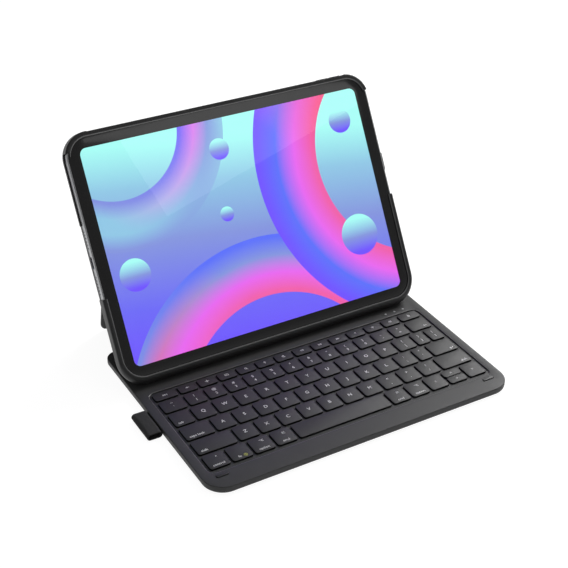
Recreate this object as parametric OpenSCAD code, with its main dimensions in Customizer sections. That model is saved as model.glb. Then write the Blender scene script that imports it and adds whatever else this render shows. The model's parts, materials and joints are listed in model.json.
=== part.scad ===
// Tablet keyboard case: a keyboard base, and a shell that holds a tablet and leans on a kickstand.
// Millimetres. +X is right, +Y is rearwards, +Z is up, and the table is z = 0.
// The origin is the centre of the base's flat underside.

/* [Keyboard base] */
// Width of the deck left and right of the tray
deck_side = 6.9; // [4:0.05:9]
// Depth of the deck behind the tray
deck_rear = 60.1; // [56:0.1:66]
// Height of the deck above the table
base_h = 6; // [6:0.1:7]
// Radius of the two front corners, seen from above
front_corner_r = 15.5; // [11:0.5:18]
// Radius of the two rear corners, seen from above
rear_corner_r = 9; // [7:0.5:12]
// Height of the seam between the two covers
seam_z = 2.8; // [2.6:0.1:3]
// Wall around both covers
cover_wall = 1.3; // [1:0.1:1.6]
// Floor of the bottom cover
floor_t = 1; // [0.8:0.1:1.1]
// Thickness of the deck behind and before the keys
deck_t = 0.8; // [0.6:0.1:1]
// Rounding of the deck's rim
deck_edge_r = 0.6; // [0.4:0.1:1.2]
// Rounding of the underside's rim
under_edge_r = 2.6; // [1:0.1:2.6]

/* [Keys] */
// Sideways place of the key field's middle
field_x = 0.2; // [-2:0.05:2]
// Front of the key field, from the base's front edge
field_front = 20.4; // [19:0.1:22]
// Gap between neighbouring keys
key_gap = 1.9; // [1.6:0.1:2.2]
// Distance between letter keys along a row
letter_pitch = 16.84; // [16.6:0.02:17]
// Distance between the rows, front to rear
row_pitch = 16.9; // [16.6:0.05:17.1]
// Depth of the number keys
number_d = 13.3; // [12.5:0.1:13.6]
// Depth of the function keys
function_d = 8.9; // [8:0.1:9.2]
// Radius of a key's corners
key_corner_r = 1.8; // [1:0.1:2.2]
// How far the key tops stand above the tray floor
key_rise = 1.2; // [1.1:0.05:1.4]
// Travel of a key
key_travel = 1; // [0.8:0.05:1]
// Thickness of a key cap's top
key_cap_t = 1; // [0.8:0.1:1.1]
// Width of the escape key
escape_w = 17.5; // [16:0.1:18]
// Width of the lock key at the end of the function row
lock_w = 16.8; // [16:0.1:18]
// Width of the key left of the digits
grave_w = 17.4; // [16:0.1:18]
// Width of the backspace key
backspace_w = 17.6; // [16:0.1:18]
// Width of the tab key
tab_w = 14.9; // [14:0.1:15.5]
// Width of the caps lock key
caps_w = 21.3; // [20.5:0.1:22]
// Width of the left shift key
left_shift_w = 29.5; // [28:0.1:30]
// Width of the right shift key
right_shift_w = 25.7; // [24:0.1:27]
// Width of the narrow key before the enter key
narrow_key_w = 10.8; // [10:0.1:11.5]
// Distance between the keys left of the space bar
left_thumb_pitch = 17.05; // [16.6:0.05:17.2]
// Distance between the keys right of the space bar
right_thumb_pitch = 16.5; // [16:0.05:16.8]
// Gap between the up key and the down key
arrow_split = 0.5; // [0.4:0.05:0.8]

/* [Tray around the keys] */
// Depth of the tray below the deck
tray_depth = 1; // [0.8:0.05:1.2]
// Thickness of the tray's floor, which the keys pass through
tray_floor_t = 0.9; // [0.7:0.05:1]
// Room left and right of the keys
tray_side = 2.3; // [2:0.1:3]
// Room before the keys
tray_front = 3.7; // [3:0.1:4]
// Room behind the keys
tray_rear = 1.6; // [1.2:0.1:2]
// Radius of the tray's corners
tray_corner_r = 5.5; // [4:0.5:6]
// Clearance between a key and its hole
key_clearance = 0.2; // [0.15:0.05:0.3]

/* [Inside the base] */
// Thickness of the steel plate under the keys
plate_t = 0.4; // [0.3:0.05:0.5]
// Thickness of the contact membrane
membrane_t = 0.4; // [0.3:0.05:0.5]
// Height of a rubber dome, pressed down
dome_h = 0.9; // [0.7:0.05:0.95]
// Radius of a rubber dome at its foot
dome_r = 2.6; // [2.2:0.1:3]
// Length of a battery cell
cell_w = 84; // [70:1:86]
// Depth of a battery cell
cell_d = 30; // [26:1:31]
// Thickness of a battery cell
cell_t = 2.6; // [2:0.1:3]
// Thickness of the circuit board
board_t = 0.8; // [0.6:0.1:1]
// Width of the circuit board
board_w = 48; // [42:1:48]
// Depth of the circuit board
board_d = 32; // [28:1:33]
// Width of the charging port's metal shell
port_w = 9; // [8.8:0.1:9.2]
// Height of the charging port's metal shell
port_h = 3.2; // [3:0.05:3.25]
// Depth of the charging port's metal shell
port_depth = 7.4; // [7:0.1:8]
// Place of the charging port's middle, from the base's rear edge
port_from_rear = 33.5; // [31:0.5:35]
// Place of the power switch's middle, from the base's rear edge
switch_from_rear = 18.5; // [17:0.5:20]
// Travel of the power switch
switch_travel = 2.5; // [2:0.1:3]
// Length of the base's magnets
base_magnet_w = 24; // [18:1:28]
// Thickness of the base's magnets
base_magnet_t = 1.4; // [1:0.1:1.5]
// Radius of a cover screw's thread
screw_r = 0.7; // [0.6:0.05:0.8]
// Radius of a cover screw's head
screw_head_r = 1.6; // [1.5:0.05:1.8]

/* [Pen loop] */
// How far the loop stands out of the base's left side
loop_reach = 12.9; // [11:0.1:14]
// Length of the loop along the base's side
loop_len = 26; // [24:1:36]
// Height of the loop
loop_h = 5.8; // [5.7:0.05:6]
// Thickness of the elastic
loop_t = 0.8; // [0.6:0.05:0.8]
// Place of the loop's middle, from the base's front edge
loop_y = 86; // [75:0.5:90]

/* [Docking] */
// Height of the shell's tilt axis above the deck
axis_above_deck = 5.05; // [5:0.05:5.2]
// Place of the tilt axis, from the base's front edge
dock_y = 126.95; // [125:0.05:128.5]
// Sideways place of the shell on the base
dock_x = -2.35; // [-4:0.05:0]
// Lean of the tablet, from lying flat
lean = 59.3; // [56:0.1:62]
// Width of the docking rail
rail_w = 200; // [160:1:220]

/* [Shell] */
// Thickness of the shell
shell_t = 9.5; // [9.4:0.05:9.6]
// Wall left and right of the tablet
side_wall = 1; // [0.9:0.1:1.8]
// Wall under the tablet's lower edge
bottom_wall = 3.4; // [3:0.1:4]
// Wall over the tablet's upper edge
top_wall = 1.1; // [1:0.1:1.8]
// How far the lip reaches over the tablet's glass
lip_w = 2.7; // [2:0.1:3]
// Thickness of the lip
lip_t = 1; // [0.9:0.05:1.1]
// Rounding of the shell's rear rim
rear_edge_r = 2; // [1:0.1:2.2]
// Rounding of the shell's front rim
front_edge_r = 1.1; // [0.6:0.1:1.4]
// How far the soft frame reaches over the rear of the tablet
rear_return = 4; // [3.5:0.1:4.2]
// Thickness of the soft lining behind the tablet
lining_t = 0.4; // [0.3:0.05:0.45]
// How much the upper wall is let in between the corner bumpers
bumper_step = 0.4; // [0.3:0.05:0.5]

/* [Tablet] */
// Width of the tablet, lying in landscape
tablet_w = 247.6; // [247:0.1:249]
// Height of the tablet in landscape
tablet_h = 178.5; // [178:0.1:180]
// Thickness of the tablet
tablet_t = 6.1; // [6:0.05:6.2]
// Corner radius of the tablet
tablet_corner_r = 17.5; // [14:0.5:18]
// Width of the bezel left and right of the lit display
bezel_side = 10.25; // [9.5:0.05:11]
// Width of the bezel above and below the lit display
bezel_end = 10.35; // [9.5:0.05:11]
// Thickness of the cover glass
glass_t = 0.8; // [0.6:0.05:0.9]

/* [Kickstand] */
// Width of the kickstand plate
kick_w = 212; // [190:1:214]
// Thickness of the kickstand plate
kick_t = 1.1; // [1:0.05:1.1]
// Distance of its hinge from the shell's lower edge
kick_hinge_s = 120; // [118:0.5:124]
// Opening angle at rest, from folded flat
kick_angle = 42; // [40:0.2:46]
// Radius of the kickstand's hinge barrels
barrel_r = 0.95; // [0.85:0.05:0.95]
// Radius of the kickstand's hinge pins
hinge_pin_r = 0.5; // [0.4:0.05:0.5]
// Radius of the rubber foot along the plate's free edge
foot_r = 0.8; // [0.7:0.05:0.9]

/* [Hidden] */

CHARCOAL = "#47474a";
KEY_GREY = "#4b4b4e";
SOFT_BLACK = "#2d2d2f";
STEEL = "#b9bbbd";
MAGNET = "#8d8f92";
ARC_STEPS = 6; // straight pieces in a rounded corner
KEY_STEPS = 4; // the same in a key's corner
HOLE_STEPS = 2; // the same in a key hole's corner
RIM_ANGLES = [0, 22.5, 45, 67.5]; // where the base's rounded rims are sliced
SHELL_ANGLES = [-90 : 22.5 : 90]; // where the shell's thickness is sliced
EPS = 0.01; // thickness of a slice that a hull joins
CUT = 1; // how far a cut runs past the face that it opens
fit_gap = 0.15; // clearance of a loose fit, each side
snug = 0.05; // clearance of a close fit, each side
thread_gap = 0.02; // clearance of a screw's thread

// ---- heights in the base ----
deck_under = base_h - deck_t;
tray_z = base_h - tray_depth;
tray_under = tray_z - tray_floor_t;
key_top_z = tray_z + key_rise;
plate_top = floor_t + plate_t;
membrane_top = plate_top + membrane_t;
dome_top = membrane_top + dome_h;
dome_gap = 0.1; // left under a pressed key
dome_taper = 1;
stem_bottom = dome_top + dome_gap + key_travel;
skirt_above = 0.3; // lower edge of a key above the underside of the tray's floor
skirt_bottom = tray_under + skirt_above;
board_top = floor_t + board_t;
key_wall = 0.9; // wall of a key cap's skirt
stem_r = 1.4; // radius of a key's stem
membrane_inset = 1; // membrane short of the plate, front and rear

// ---- places on the base ----
lower_start = left_shift_w + key_gap;
field_w = lower_start + 10 * letter_pitch + right_shift_w;
field_d = 4 * row_pitch + number_d + key_gap + function_d;
base_w = field_w + 2 * (tray_side + deck_side);
base_d = field_front + field_d + tray_rear + deck_rear;
function from_front(y) = y - base_d / 2;
function from_rear(y) = base_d / 2 - y;
field_left = field_x - field_w / 2;
field_y = from_front(field_front);
key_d = row_pitch - key_gap;
lower_row_y = field_y + row_pitch;
home_row_y = field_y + 2 * row_pitch;
upper_row_y = field_y + 3 * row_pitch;
number_row_y = field_y + 4 * row_pitch;
function_row_y = number_row_y + number_d + key_gap;
tray_x0 = field_left - tray_side;
tray_x1 = field_left + field_w + tray_side;
tray_y0 = field_y - tray_front;
tray_y1 = field_y + field_d + tray_rear;
tray_rim = 1; // solid ring around the tray, under the deck

// ---- key rows: each key is [left edge from the field's left, width] ----
function run(left, pitch, count) = [for (i = [0 : count - 1]) [left + i * pitch, pitch - key_gap]];
row_span = field_w + key_gap;
function_pitch = (row_span - escape_w - lock_w - 2 * key_gap) / 12;
digit_pitch = (row_span - grave_w - backspace_w - 2 * key_gap) / 12;
upper_start = tab_w + key_gap;
home_start = caps_w + key_gap;
bracket_end = upper_start + 11 * letter_pitch;
bracket_w = (row_span - bracket_end) / 2 - key_gap;
quote_left = home_start + 10 * letter_pitch;
enter_left = quote_left + narrow_key_w + key_gap;
space_left = 4 * left_thumb_pitch;
right_thumb_left = row_span - 5 * right_thumb_pitch;
thumb_w = right_thumb_pitch - key_gap;

ESCAPE = [[0, escape_w]];
FUNCTION = concat(run(escape_w + key_gap, function_pitch, 12), [[field_w - lock_w, lock_w]]);
DIGITS = concat([[0, grave_w]], run(grave_w + key_gap, digit_pitch, 12));
BACKSPACE = [[field_w - backspace_w, backspace_w]];
TAB = [[0, tab_w]];
UPPER = concat(run(upper_start, letter_pitch, 11), run(bracket_end, bracket_w + key_gap, 2));
CAPS = [[0, caps_w]];
HOME = concat(run(home_start, letter_pitch, 10), [[quote_left, narrow_key_w]]);
ENTER = [[enter_left, field_w - enter_left]];
LEFT_SHIFT = [[0, left_shift_w]];
LOWER = run(lower_start, letter_pitch, 10);
RIGHT_SHIFT = [[field_w - right_shift_w, right_shift_w]];
MODIFIERS = concat(run(0, left_thumb_pitch, 4), run(right_thumb_left, right_thumb_pitch, 2));
SPACE = [[space_left, right_thumb_left - key_gap - space_left]];
LEFT_ARROW = [[right_thumb_left + 2 * right_thumb_pitch, thumb_w]];
MIDDLE_ARROW = [[right_thumb_left + 3 * right_thumb_pitch, thumb_w]];
RIGHT_ARROW = [[right_thumb_left + 4 * right_thumb_pitch, thumb_w]];
half_key_d = (key_d - arrow_split) / 2;
// each row: [front edge, depth, its keys]
ROWS = [
    [field_y, key_d, concat(MODIFIERS, SPACE, LEFT_ARROW, MIDDLE_ARROW, RIGHT_ARROW)],
    [lower_row_y, key_d, concat(LEFT_SHIFT, LOWER, RIGHT_SHIFT)],
    [home_row_y, key_d, concat(CAPS, HOME, ENTER)],
    [upper_row_y, key_d, concat(TAB, UPPER)],
    [number_row_y, number_d, concat(DIGITS, BACKSPACE)],
    [function_row_y, function_d, concat(ESCAPE, FUNCTION)]
];

// ---- docking and shell ----
shell_r = shell_t / 2;
axis_y = from_front(dock_y);
axis_z = base_h + axis_above_deck;
dock_travel = base_d - shell_r - dock_y; // brings the shell's lower edge over the base's rear edge
seat_gap = 0.3; // between the shell's round edge and the rail's seat
slide_gap = 0.05; // under the docking rail
seat_r = shell_r + seat_gap;
seat_low = -65; // the seat's arc about the tilt axis, in degrees
seat_high = -36;
rail_reach = 7; // rear edge of the rail behind the tilt axis
rail_bevel = 1;
MAGNET_X = [for (i = [-1.5 : 1.5]) dock_x + i * rail_w / 4]; // one place for all the docking magnets
typing_magnet_d = 6.4;
closing_magnet_d = 5.8;
rail_magnet_w = 20;
rail_magnet_d = 2.2;
rail_magnet_t = 1.2;
rail_magnet_back = 5.4; // behind the tilt axis
rail_magnet_up = 0.25; // above the deck
rail_magnet_y = axis_y + rail_magnet_back;
rail_magnet_z = base_h + rail_magnet_up;
shell_magnet_w = 18;
shell_magnet_d = 3.6;
shell_magnet_t = 1.6;
shell_magnet_y = 1.8; // middle of the magnets above the shell's lower edge
case_w = tablet_w + 2 * side_wall;
case_y0 = -shell_r;
tablet_y0 = case_y0 + bottom_wall;
tablet_y1 = tablet_y0 + tablet_h;
case_y1 = tablet_y1 + top_wall;
tablet_cy = (tablet_y0 + tablet_y1) / 2;
case_corner_r = tablet_corner_r + side_wall;
glass_z = shell_r - lip_t;
tablet_z = glass_z - tablet_t;
panel_z = tablet_z - lining_t;
tablet_fit = 0.1; // around the tablet in the frame
panel_fit = 0.05; // around the rear panel in the frame
panel_rim = 1.1; // panel left standing around the kickstand's recess
lip_play = 0.2; // past the lip's inner edge in the side openings
side_cut_len = 53.5; // opening beside the tablet's port
side_cut_low = tablet_cy - side_cut_len / 2;
side_cut_high = tablet_cy + side_cut_len / 2;
slim_wall_down = 11.4; // end of the low left wall, below the tablet's top
slim_wall_high = tablet_y1 - slim_wall_down;
slim_wall_z = -1.2; // top of the left wall where it is low
right_cut_from = 7.7; // start of the right opening, below the tablet's middle
right_cut_down = 14; // its end, below the tablet's top
right_cut_low = tablet_cy - right_cut_from;
right_cut_high = tablet_y1 - right_cut_down;
power_up = 18.3; // power button above the tablet's middle
power_y = tablet_cy + power_up;
power_len = 13.6;
power_h = 3.6;
volume_len = 9;
volume_z0 = -1.3;
volume_z1 = 1.5;
volume_from_side = 23.3; // outer volume button's middle from the tablet's right side
volume_pitch = 11;
volume_x = tablet_w / 2 - volume_from_side;
VOLUME_X = [volume_x - volume_pitch, volume_x]; // middles of the two volume button covers
step_from_side = 18.8; // the upper wall is let in from here on the left
step_past = 3; // to here past the volume buttons
step_x0 = step_from_side - tablet_w / 2;
step_x1 = volume_x + volume_len / 2 + step_past;
button_proud = 0.5;
button_gap = 0.2;
button_room = 0.5; // between a button cover and the tablet
camera_from_side = 31.8;
camera_down = 24;
camera_x = tablet_w / 2 - camera_from_side;
camera_y = case_y1 - camera_down;
camera_r = 9.5;
camera_wall = 1.3;
camera_ring_proud = 0.2;

// ---- tablet ----
display_w = tablet_w - 2 * bezel_side;
display_h = tablet_h - 2 * bezel_end;
display_t = 0.8;
display_corner_r = 5;
glass_inset = 0.4;
housing_wall = 1.2;
housing_top = glass_z - glass_t;
tablet_rim = 0.5; // step along the housing's rear rim
tablet_mid = (tablet_z + housing_top) / 2;
edge_hole_depth = 3;
tablet_port_w = 6; // between the middles of the port's round ends
tablet_port_r = 1.5;
speaker_count = 6; // holes on each side of the port
speaker_start = 10.5;
speaker_pitch = 2.4;
speaker_r = 0.7;
tablet_camera_r = 6;
tablet_camera_h = 1.6;

// ---- kickstand, in the shell's frame ----
hinge_y = case_y0 + kick_hinge_s;
hinge_z = -shell_r + barrel_r + snug;
plate_mid = -shell_r + kick_t / 2;
foot_offset = hinge_z - plate_mid;
hinge_height = axis_z + hinge_y * sin(lean) + hinge_z * cos(lean);
leg_drop = sin(lean) * cos(kick_angle) + cos(lean) * sin(kick_angle);
offset_rise = sin(lean) * sin(kick_angle) - cos(lean) * cos(kick_angle);
leg_len = (hinge_height + foot_offset * offset_rise - foot_r) / leg_drop; // sets the foot on the table
plate_end = hinge_y - leg_len;
kick_clear = 0.4; // around the folded plate
recess_gap = 0.1; // under the folded plate and its foot
kick_corner_r = 6;
barrel_len = 20;
leaf_knuckle = 8;
knuckle_gap = 0.15;
hinge_from_end = 34.5; // middle of a barrel from the plate's end
hinge_x = kick_w / 2 - hinge_from_end;
pin_len = barrel_len + 2 * leaf_knuckle + 2 * knuckle_gap;
pin_fit = 0.05;
leaf_reach = 8;
leaf_end = hinge_y + barrel_r + leaf_reach;
leaf_top = panel_z - fit_gap;
tongue_inset = 0.05; // the barrels' tongues are this much thinner than the plate, each side
foot_short = 29.5; // foot short of the plate at each end
foot_len = kick_w - 2 * foot_short;
notch_r = 9; // a finger lifts the plate here, at either side
notch_up = 26;
kick_magnet_in = 10; // nearer to the middle than the barrels
kick_magnet_x = hinge_x - kick_magnet_in;
kick_magnet_up = 8; // middle of the magnets above the plate's free edge
kick_magnet_w = 12;
kick_magnet_d = 4;
kick_magnet_t = 0.5;
panel_magnet_t = 0.6;
plate_skin = 0.3; // plate left under its magnets

// ---- fittings of the base ----
boss_r = 2.3;
boss_foot = floor_t + 0.8;
screw_seat = 0.9; // depth of the hole for a screw's head
screw_end = deck_under - 0.8;
screw_spare = 0.4; // the thread's hole runs on past the screw
screw_x = 70; // middle screws, from the base's middle
screw_from_side = 9;
screw_from_rear = 5.5;
screw_before_tray = 7.4;
screw_behind_tray = 5.55;
side_x = base_w / 2 - screw_from_side;
screw_rows = [
    [tray_y0 - screw_before_tray, [-screw_x, 0, screw_x]],
    [tray_y1 + screw_behind_tray, [-side_x, 0, screw_x]],
    [from_rear(screw_from_rear), [-side_x, 0, side_x]]
];
SCREWS = [for (row = screw_rows) for (x = row[1]) [x, row[0]]];
light_r = 0.8;
light_in = 0.6; // how far a light pipe reaches below the deck
light_pitch = 8.05;
light_from_side = 24.7; // the first light from the tray's right side
light_before_axis = 8.9;
LIGHTS = [for (i = [0 : 2]) [tray_x1 - light_from_side + i * light_pitch, axis_y - light_before_axis]];
bumper_len = 9;
bumper_d = 2.6;
bumper_corner_r = 1;
bumper_rise = 0.5;
bumper_sink = 0.5;
bumper_from_side = 13.7;
bumper_before_keys = 7.7;
BUMPERS = [for (s = [-1, 1]) [s * (base_w / 2 - bumper_from_side), field_y - bumper_before_keys]];
board_room = 0.2; // between the board and the cover's wall
board_from_rear = 9.7;
board_x1 = base_w / 2 - cover_wall - board_room;
board_x0 = board_x1 - board_w;
board_y0 = from_rear(board_from_rear + board_d);
CHIPS = [[13.5, 18.5, 9], [26, 21, 6]]; // middle from the board's corner, and width
chip_t = 1;
cell_gap = 3.5;
ribbon_in = 8; // from the board's left edge
ribbon_x = board_x0 + ribbon_in;
ribbon_w = 14;
ribbon_t = 0.2;
ribbon_lap = 3;
port_p = from_rear(port_from_rear);
port_z = board_top + port_h / 2;
port_wall = 0.3;
port_back = 1.4;
tongue_w = 6.6;
tongue_t = 0.7;
switch_p = from_rear(switch_from_rear);
switch_z = 3.6;
knob_d = 3; // along the base's side
knob_h = 1.5;
knob_in = 2.5; // behind the cover's wall
switch_proud = 0.9;
housing_w = 4;
housing_end = 1.5;
housing_roof = 0.6;
housing_back = 1.5;
loop_p = from_front(loop_y);
loop_foot = 0.3; // between the loop and the base's side
tab_above_seam = 0.1;
tab_z = seam_z + tab_above_seam;
tab_t = 0.8;
tab_in = 5;
anchor_w = 2.6;

// ---- shared shapes ----
function arc(cx, cy, r, a0, a1, n) =
    [for (i = [0 : n]) let (a = a0 + (a1 - a0) * i / n) [cx + r * cos(a), cy + r * sin(a)]];
// rounded rectangle between two corners; r0 rounds the corners at y0, r1 those at y1
function round_box(x0, x1, y0, y1, r0, r1, n = ARC_STEPS) = concat(
    arc(x1 - r0, y0 + r0, r0, -90, 0, n), arc(x1 - r1, y1 - r1, r1, 0, 90, n),
    arc(x0 + r1, y1 - r1, r1, 90, 180, n), arc(x0 + r0, y0 + r0, r0, 180, 270, n));
// the same, given by its middle and its size, with one radius
function round_rect(p, w, d, r, n = ARC_STEPS) =
    round_box(p[0] - w / 2, p[0] + w / 2, p[1] - d / 2, p[1] + d / 2, r, r, n);
module prism(points, z0, z1) {
    translate([0, 0, z0]) linear_extrude(z1 - z0) polygon(points);
}
module block(x0, x1, y0, y1, z0, z1) {
    translate([x0, y0, z0]) cube([x1 - x0, y1 - y0, z1 - z0]);
}
// a block given by its middle and its size in plan
module slab(p, w, d, z0, z1) {
    block(p[0] - w / 2, p[0] + w / 2, p[1] - d / 2, p[1] + d / 2, z0, z1);
}
module post(p, r, z0, z1, n = 24) {
    translate([p[0], p[1], z0]) cylinder(h = z1 - z0, r = r, $fn = n);
}
// a round bar along X
module rod(x0, x1, y, z, r) {
    translate([x0, y, z]) rotate([0, 90, 0]) cylinder(h = x1 - x0, r = r, $fn = 32);
}
// how far a rounded rim is drawn in, at a height below its flat end
function rim_inset(height, r) = height >= r ? 0 : r - sqrt(r * r - (r - height) * (r - height));

// ---- keyboard base ----
function base_outline(inset) = round_box(
    -base_w / 2 + inset, base_w / 2 - inset, -base_d / 2 + inset, base_d / 2 - inset,
    front_corner_r - inset, rear_corner_r - inset);
function tray_outline(g) = round_box(
    tray_x0 - g, tray_x1 + g, tray_y0 - g, tray_y1 + g, tray_corner_r + g, tray_corner_r + g);
// a slab of the base's outline; r_low rounds its lower rim and r_high its upper rim
module base_slab(z0, z1, r_low, r_high) {
    hull() {
        prism(base_outline(0), z0 + r_low, z1 - r_high);
        for (a = RIM_ANGLES) {
            if (r_low > 0) prism(base_outline(r_low * (1 - sin(a))), z0 + r_low * (1 - cos(a)),
                z0 + r_low * (1 - cos(a)) + EPS);
            if (r_high > 0) prism(base_outline(r_high * (1 - sin(a))), z1 - r_high * (1 - cos(a)) - EPS,
                z1 - r_high * (1 - cos(a)));
        }
    }
}
module key_holes() {
    for (row = ROWS) for (k = row[2]) {
        middle = [field_left + k[0] + k[1] / 2, row[0] + row[1] / 2];
        hole_w = k[1] + 2 * key_clearance;
        hole_d = row[1] + 2 * key_clearance;
        prism(round_rect(middle, hole_w, hole_d, key_corner_r, HOLE_STEPS), tray_under - CUT, tray_z + CUT);
    }
}
module port_cut() {
    slab([base_w / 2, port_p], 2 * (cover_wall + CUT), port_w + 2 * fit_gap,
        board_top - fit_gap, board_top + port_h + fit_gap);
}
module loop_tab_cut() {
    slab([-base_w / 2, loop_p], 2 * (cover_wall + CUT), loop_len + 2 * fit_gap,
        tab_z - tab_t / 2 - fit_gap, tab_z + tab_t / 2 + fit_gap);
}
module switch_slot() {
    slot_d = knob_d + switch_travel + 2 * fit_gap;
    slab([base_w / 2, switch_p + switch_travel / 2], 2 * (cover_wall + CUT), slot_d,
        switch_z - knob_h / 2 - fit_gap, switch_z + knob_h / 2 + fit_gap);
}
module base_top_cover() {
    color(CHARCOAL) difference() {
        union() {
            difference() {
                base_slab(seam_z, base_h, 0, deck_edge_r);
                difference() {
                    prism(base_outline(cover_wall), seam_z - CUT, deck_under);
                    prism(tray_outline(tray_rim), tray_under, base_h);
                }
            }
            for (p = SCREWS) post(p, boss_r, boss_foot, deck_under + deck_t / 2);
        }
        prism(tray_outline(0), tray_z, base_h + CUT);
        key_holes();
        for (p = SCREWS) post(p, screw_r + thread_gap, boss_foot - CUT, screw_end + screw_spare);
        for (p = LIGHTS) post(p, light_r + snug, deck_under - CUT, base_h + CUT);
        for (p = BUMPERS)
            slab(p, bumper_len + 2 * snug, bumper_d + 2 * snug, base_h - bumper_sink, base_h + CUT);
        port_cut();
        loop_tab_cut();
        switch_slot();
    }
}
module base_bottom_cover() {
    color(CHARCOAL) difference() {
        union() {
            difference() {
                base_slab(0, seam_z, under_edge_r, 0);
                prism(base_outline(cover_wall), floor_t, seam_z + CUT);
            }
            for (p = SCREWS) post(p, boss_r, floor_t / 2, boss_foot);
        }
        for (p = SCREWS) {
            post(p, screw_r + fit_gap, -CUT, boss_foot + CUT);
            post(p, screw_head_r + fit_gap, -CUT, screw_seat);
        }
        port_cut();
        loop_tab_cut();
    }
}
module key_plate() {
    outline = round_box(tray_x0 - tray_rim, tray_x1 + tray_rim, tray_y0, tray_y1, 2, 2);
    color(STEEL) prism(outline, floor_t, plate_top);
}
module key_membrane() {
    outline = round_box(tray_x0, tray_x1, tray_y0 + membrane_inset, tray_y1 - membrane_inset, 2, 2);
    color("#d9d4b8") prism(outline, plate_top, membrane_top);
}
module key_domes() {
    color("#c9c9c9") for (row = ROWS) for (k = row[2]) {
        split = row[0] == field_y && k[0] == MIDDLE_ARROW[0][0];
        for (y = split ? [half_key_d / 2, row[1] - half_key_d / 2] : [row[1] / 2])
            translate([field_left + k[0] + k[1] / 2, row[0] + y, membrane_top])
                cylinder(h = dome_h, r1 = dome_r, r2 = dome_r - dome_taper, $fn = 16);
    }
}
module key_ribbon() {
    color("#b08a3e") block(ribbon_x, ribbon_x + ribbon_w, tray_y1 - ribbon_lap, board_y0 + ribbon_lap,
        board_top, board_top + ribbon_t);
}
module battery_cells() {
    color("#7d8289") for (i = [0, 1]) {
        middle = [board_x0 - cell_gap - cell_w / 2 - i * (cell_w + cell_gap), board_y0 + cell_d / 2];
        prism(round_rect(middle, cell_w, cell_d, 2), floor_t, floor_t + cell_t);
    }
}
module circuit_board() {
    color("#2f5b3c") {
        block(board_x0, board_x1, board_y0, board_y0 + board_d, floor_t, board_top);
        for (c = CHIPS) slab([board_x0 + c[0], board_y0 + c[1]], c[2], c[2], board_top, board_top + chip_t);
    }
}
module usb_c_port() {
    middle = [base_w / 2 - port_depth / 2, port_p];
    color(STEEL) difference() {
        slab(middle, port_depth, port_w, board_top, board_top + port_h);
        difference() {
            translate([port_back, 0, 0]) slab(middle, port_depth, port_w - 2 * port_wall,
                board_top + port_wall, board_top + port_h - port_wall);
            translate([-port_back / 2, 0, 0])
                slab(middle, port_depth, tongue_w, port_z - tongue_t / 2, port_z + tongue_t / 2);
        }
    }
}
module switch_housing() {
    middle = [base_w / 2 - cover_wall - fit_gap - housing_w / 2, switch_p + switch_travel / 2];
    reach = knob_d + switch_travel;
    color("#9aa0a6") difference() {
        slab(middle, housing_w, reach + 2 * housing_end, board_top, switch_z + knob_h / 2 + housing_roof);
        translate([housing_back, 0, 0]) slab(middle, housing_w, reach + 2 * fit_gap,
            switch_z - knob_h / 2 - fit_gap, switch_z + knob_h / 2 + fit_gap);
    }
}
module power_switch() {
    x0 = base_w / 2 - cover_wall - knob_in;
    x1 = base_w / 2 + switch_proud;
    color(SOFT_BLACK)
        slab([(x0 + x1) / 2, switch_p], x1 - x0, knob_d, switch_z - knob_h / 2, switch_z + knob_h / 2);
}
module indicator_lights() {
    color("#dfe6ea") for (p = LIGHTS) post(p, light_r, deck_under - light_in, base_h);
}
module front_bumpers() {
    color(SOFT_BLACK) for (p = BUMPERS)
        prism(round_rect(p, bumper_len, bumper_d, bumper_corner_r),
            base_h - bumper_sink, base_h + bumper_rise);
}
module magnet_row(y, d) {
    for (x = MAGNET_X) slab([x, y], base_magnet_w, d, deck_under - base_magnet_t, deck_under);
}
module typing_magnets() {
    color(MAGNET) magnet_row(axis_y, typing_magnet_d);
}
module closing_magnets() {
    color(MAGNET) magnet_row(axis_y + dock_travel, closing_magnet_d);
}
module base_screws() {
    color(STEEL) for (p = SCREWS) {
        post(p, screw_head_r, fit_gap, screw_seat);
        post(p, screw_r, screw_seat - EPS, screw_end);
    }
}
// the loop's outline from the front: a flattened tube that ends at the base's side
function loop_outline(inset) = round_box(-loop_reach + inset, -loop_foot - inset, inset, loop_h - inset,
    loop_h / 2 - inset - EPS, loop_h / 2 - inset - EPS);
module pen_loop() {
    color(SOFT_BLACK) {
        translate([-base_w / 2, loop_p + loop_len / 2, (base_h - loop_h) / 2]) rotate([90, 0, 0])
            linear_extrude(loop_len) difference() {
                polygon(loop_outline(0));
                polygon(loop_outline(loop_t));
            }
        block(-base_w / 2 - loop_foot - loop_t / 2, -base_w / 2 + tab_in,
            loop_p - loop_len / 2, loop_p + loop_len / 2, tab_z - tab_t / 2, tab_z + tab_t / 2);
    }
}
module pen_loop_anchor() {
    x0 = -base_w / 2 + cover_wall + fit_gap;
    color(STEEL) slab([x0 + anchor_w / 2, loop_p], anchor_w, loop_len - 2, floor_t, tab_z - tab_t / 2);
}

// ---- keys ----
module key_cap(left, front, w, d) {
    middle = [field_left + left + w / 2, front + d / 2];
    color(KEY_GREY) {
        difference() {
            prism(round_rect(middle, w, d, key_corner_r, KEY_STEPS), skirt_bottom, key_top_z);
            slab(middle, w - 2 * key_wall, d - 2 * key_wall, skirt_bottom - CUT, key_top_z - key_cap_t);
        }
        post(middle, stem_r, stem_bottom, key_top_z - key_cap_t / 2, 16);
    }
}
module key_group(keys, front, d) {
    for (k = keys) key_cap(k[0], front, k[1], d);
}
module escape_key() {
    key_group(ESCAPE, function_row_y, function_d);
}
module function_keys() {
    key_group(FUNCTION, function_row_y, function_d);
}
module number_keys() {
    key_group(DIGITS, number_row_y, number_d);
}
module backspace_key() {
    key_group(BACKSPACE, number_row_y, number_d);
}
module tab_key() {
    key_group(TAB, upper_row_y, key_d);
}
module upper_letter_keys() {
    key_group(UPPER, upper_row_y, key_d);
}
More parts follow.
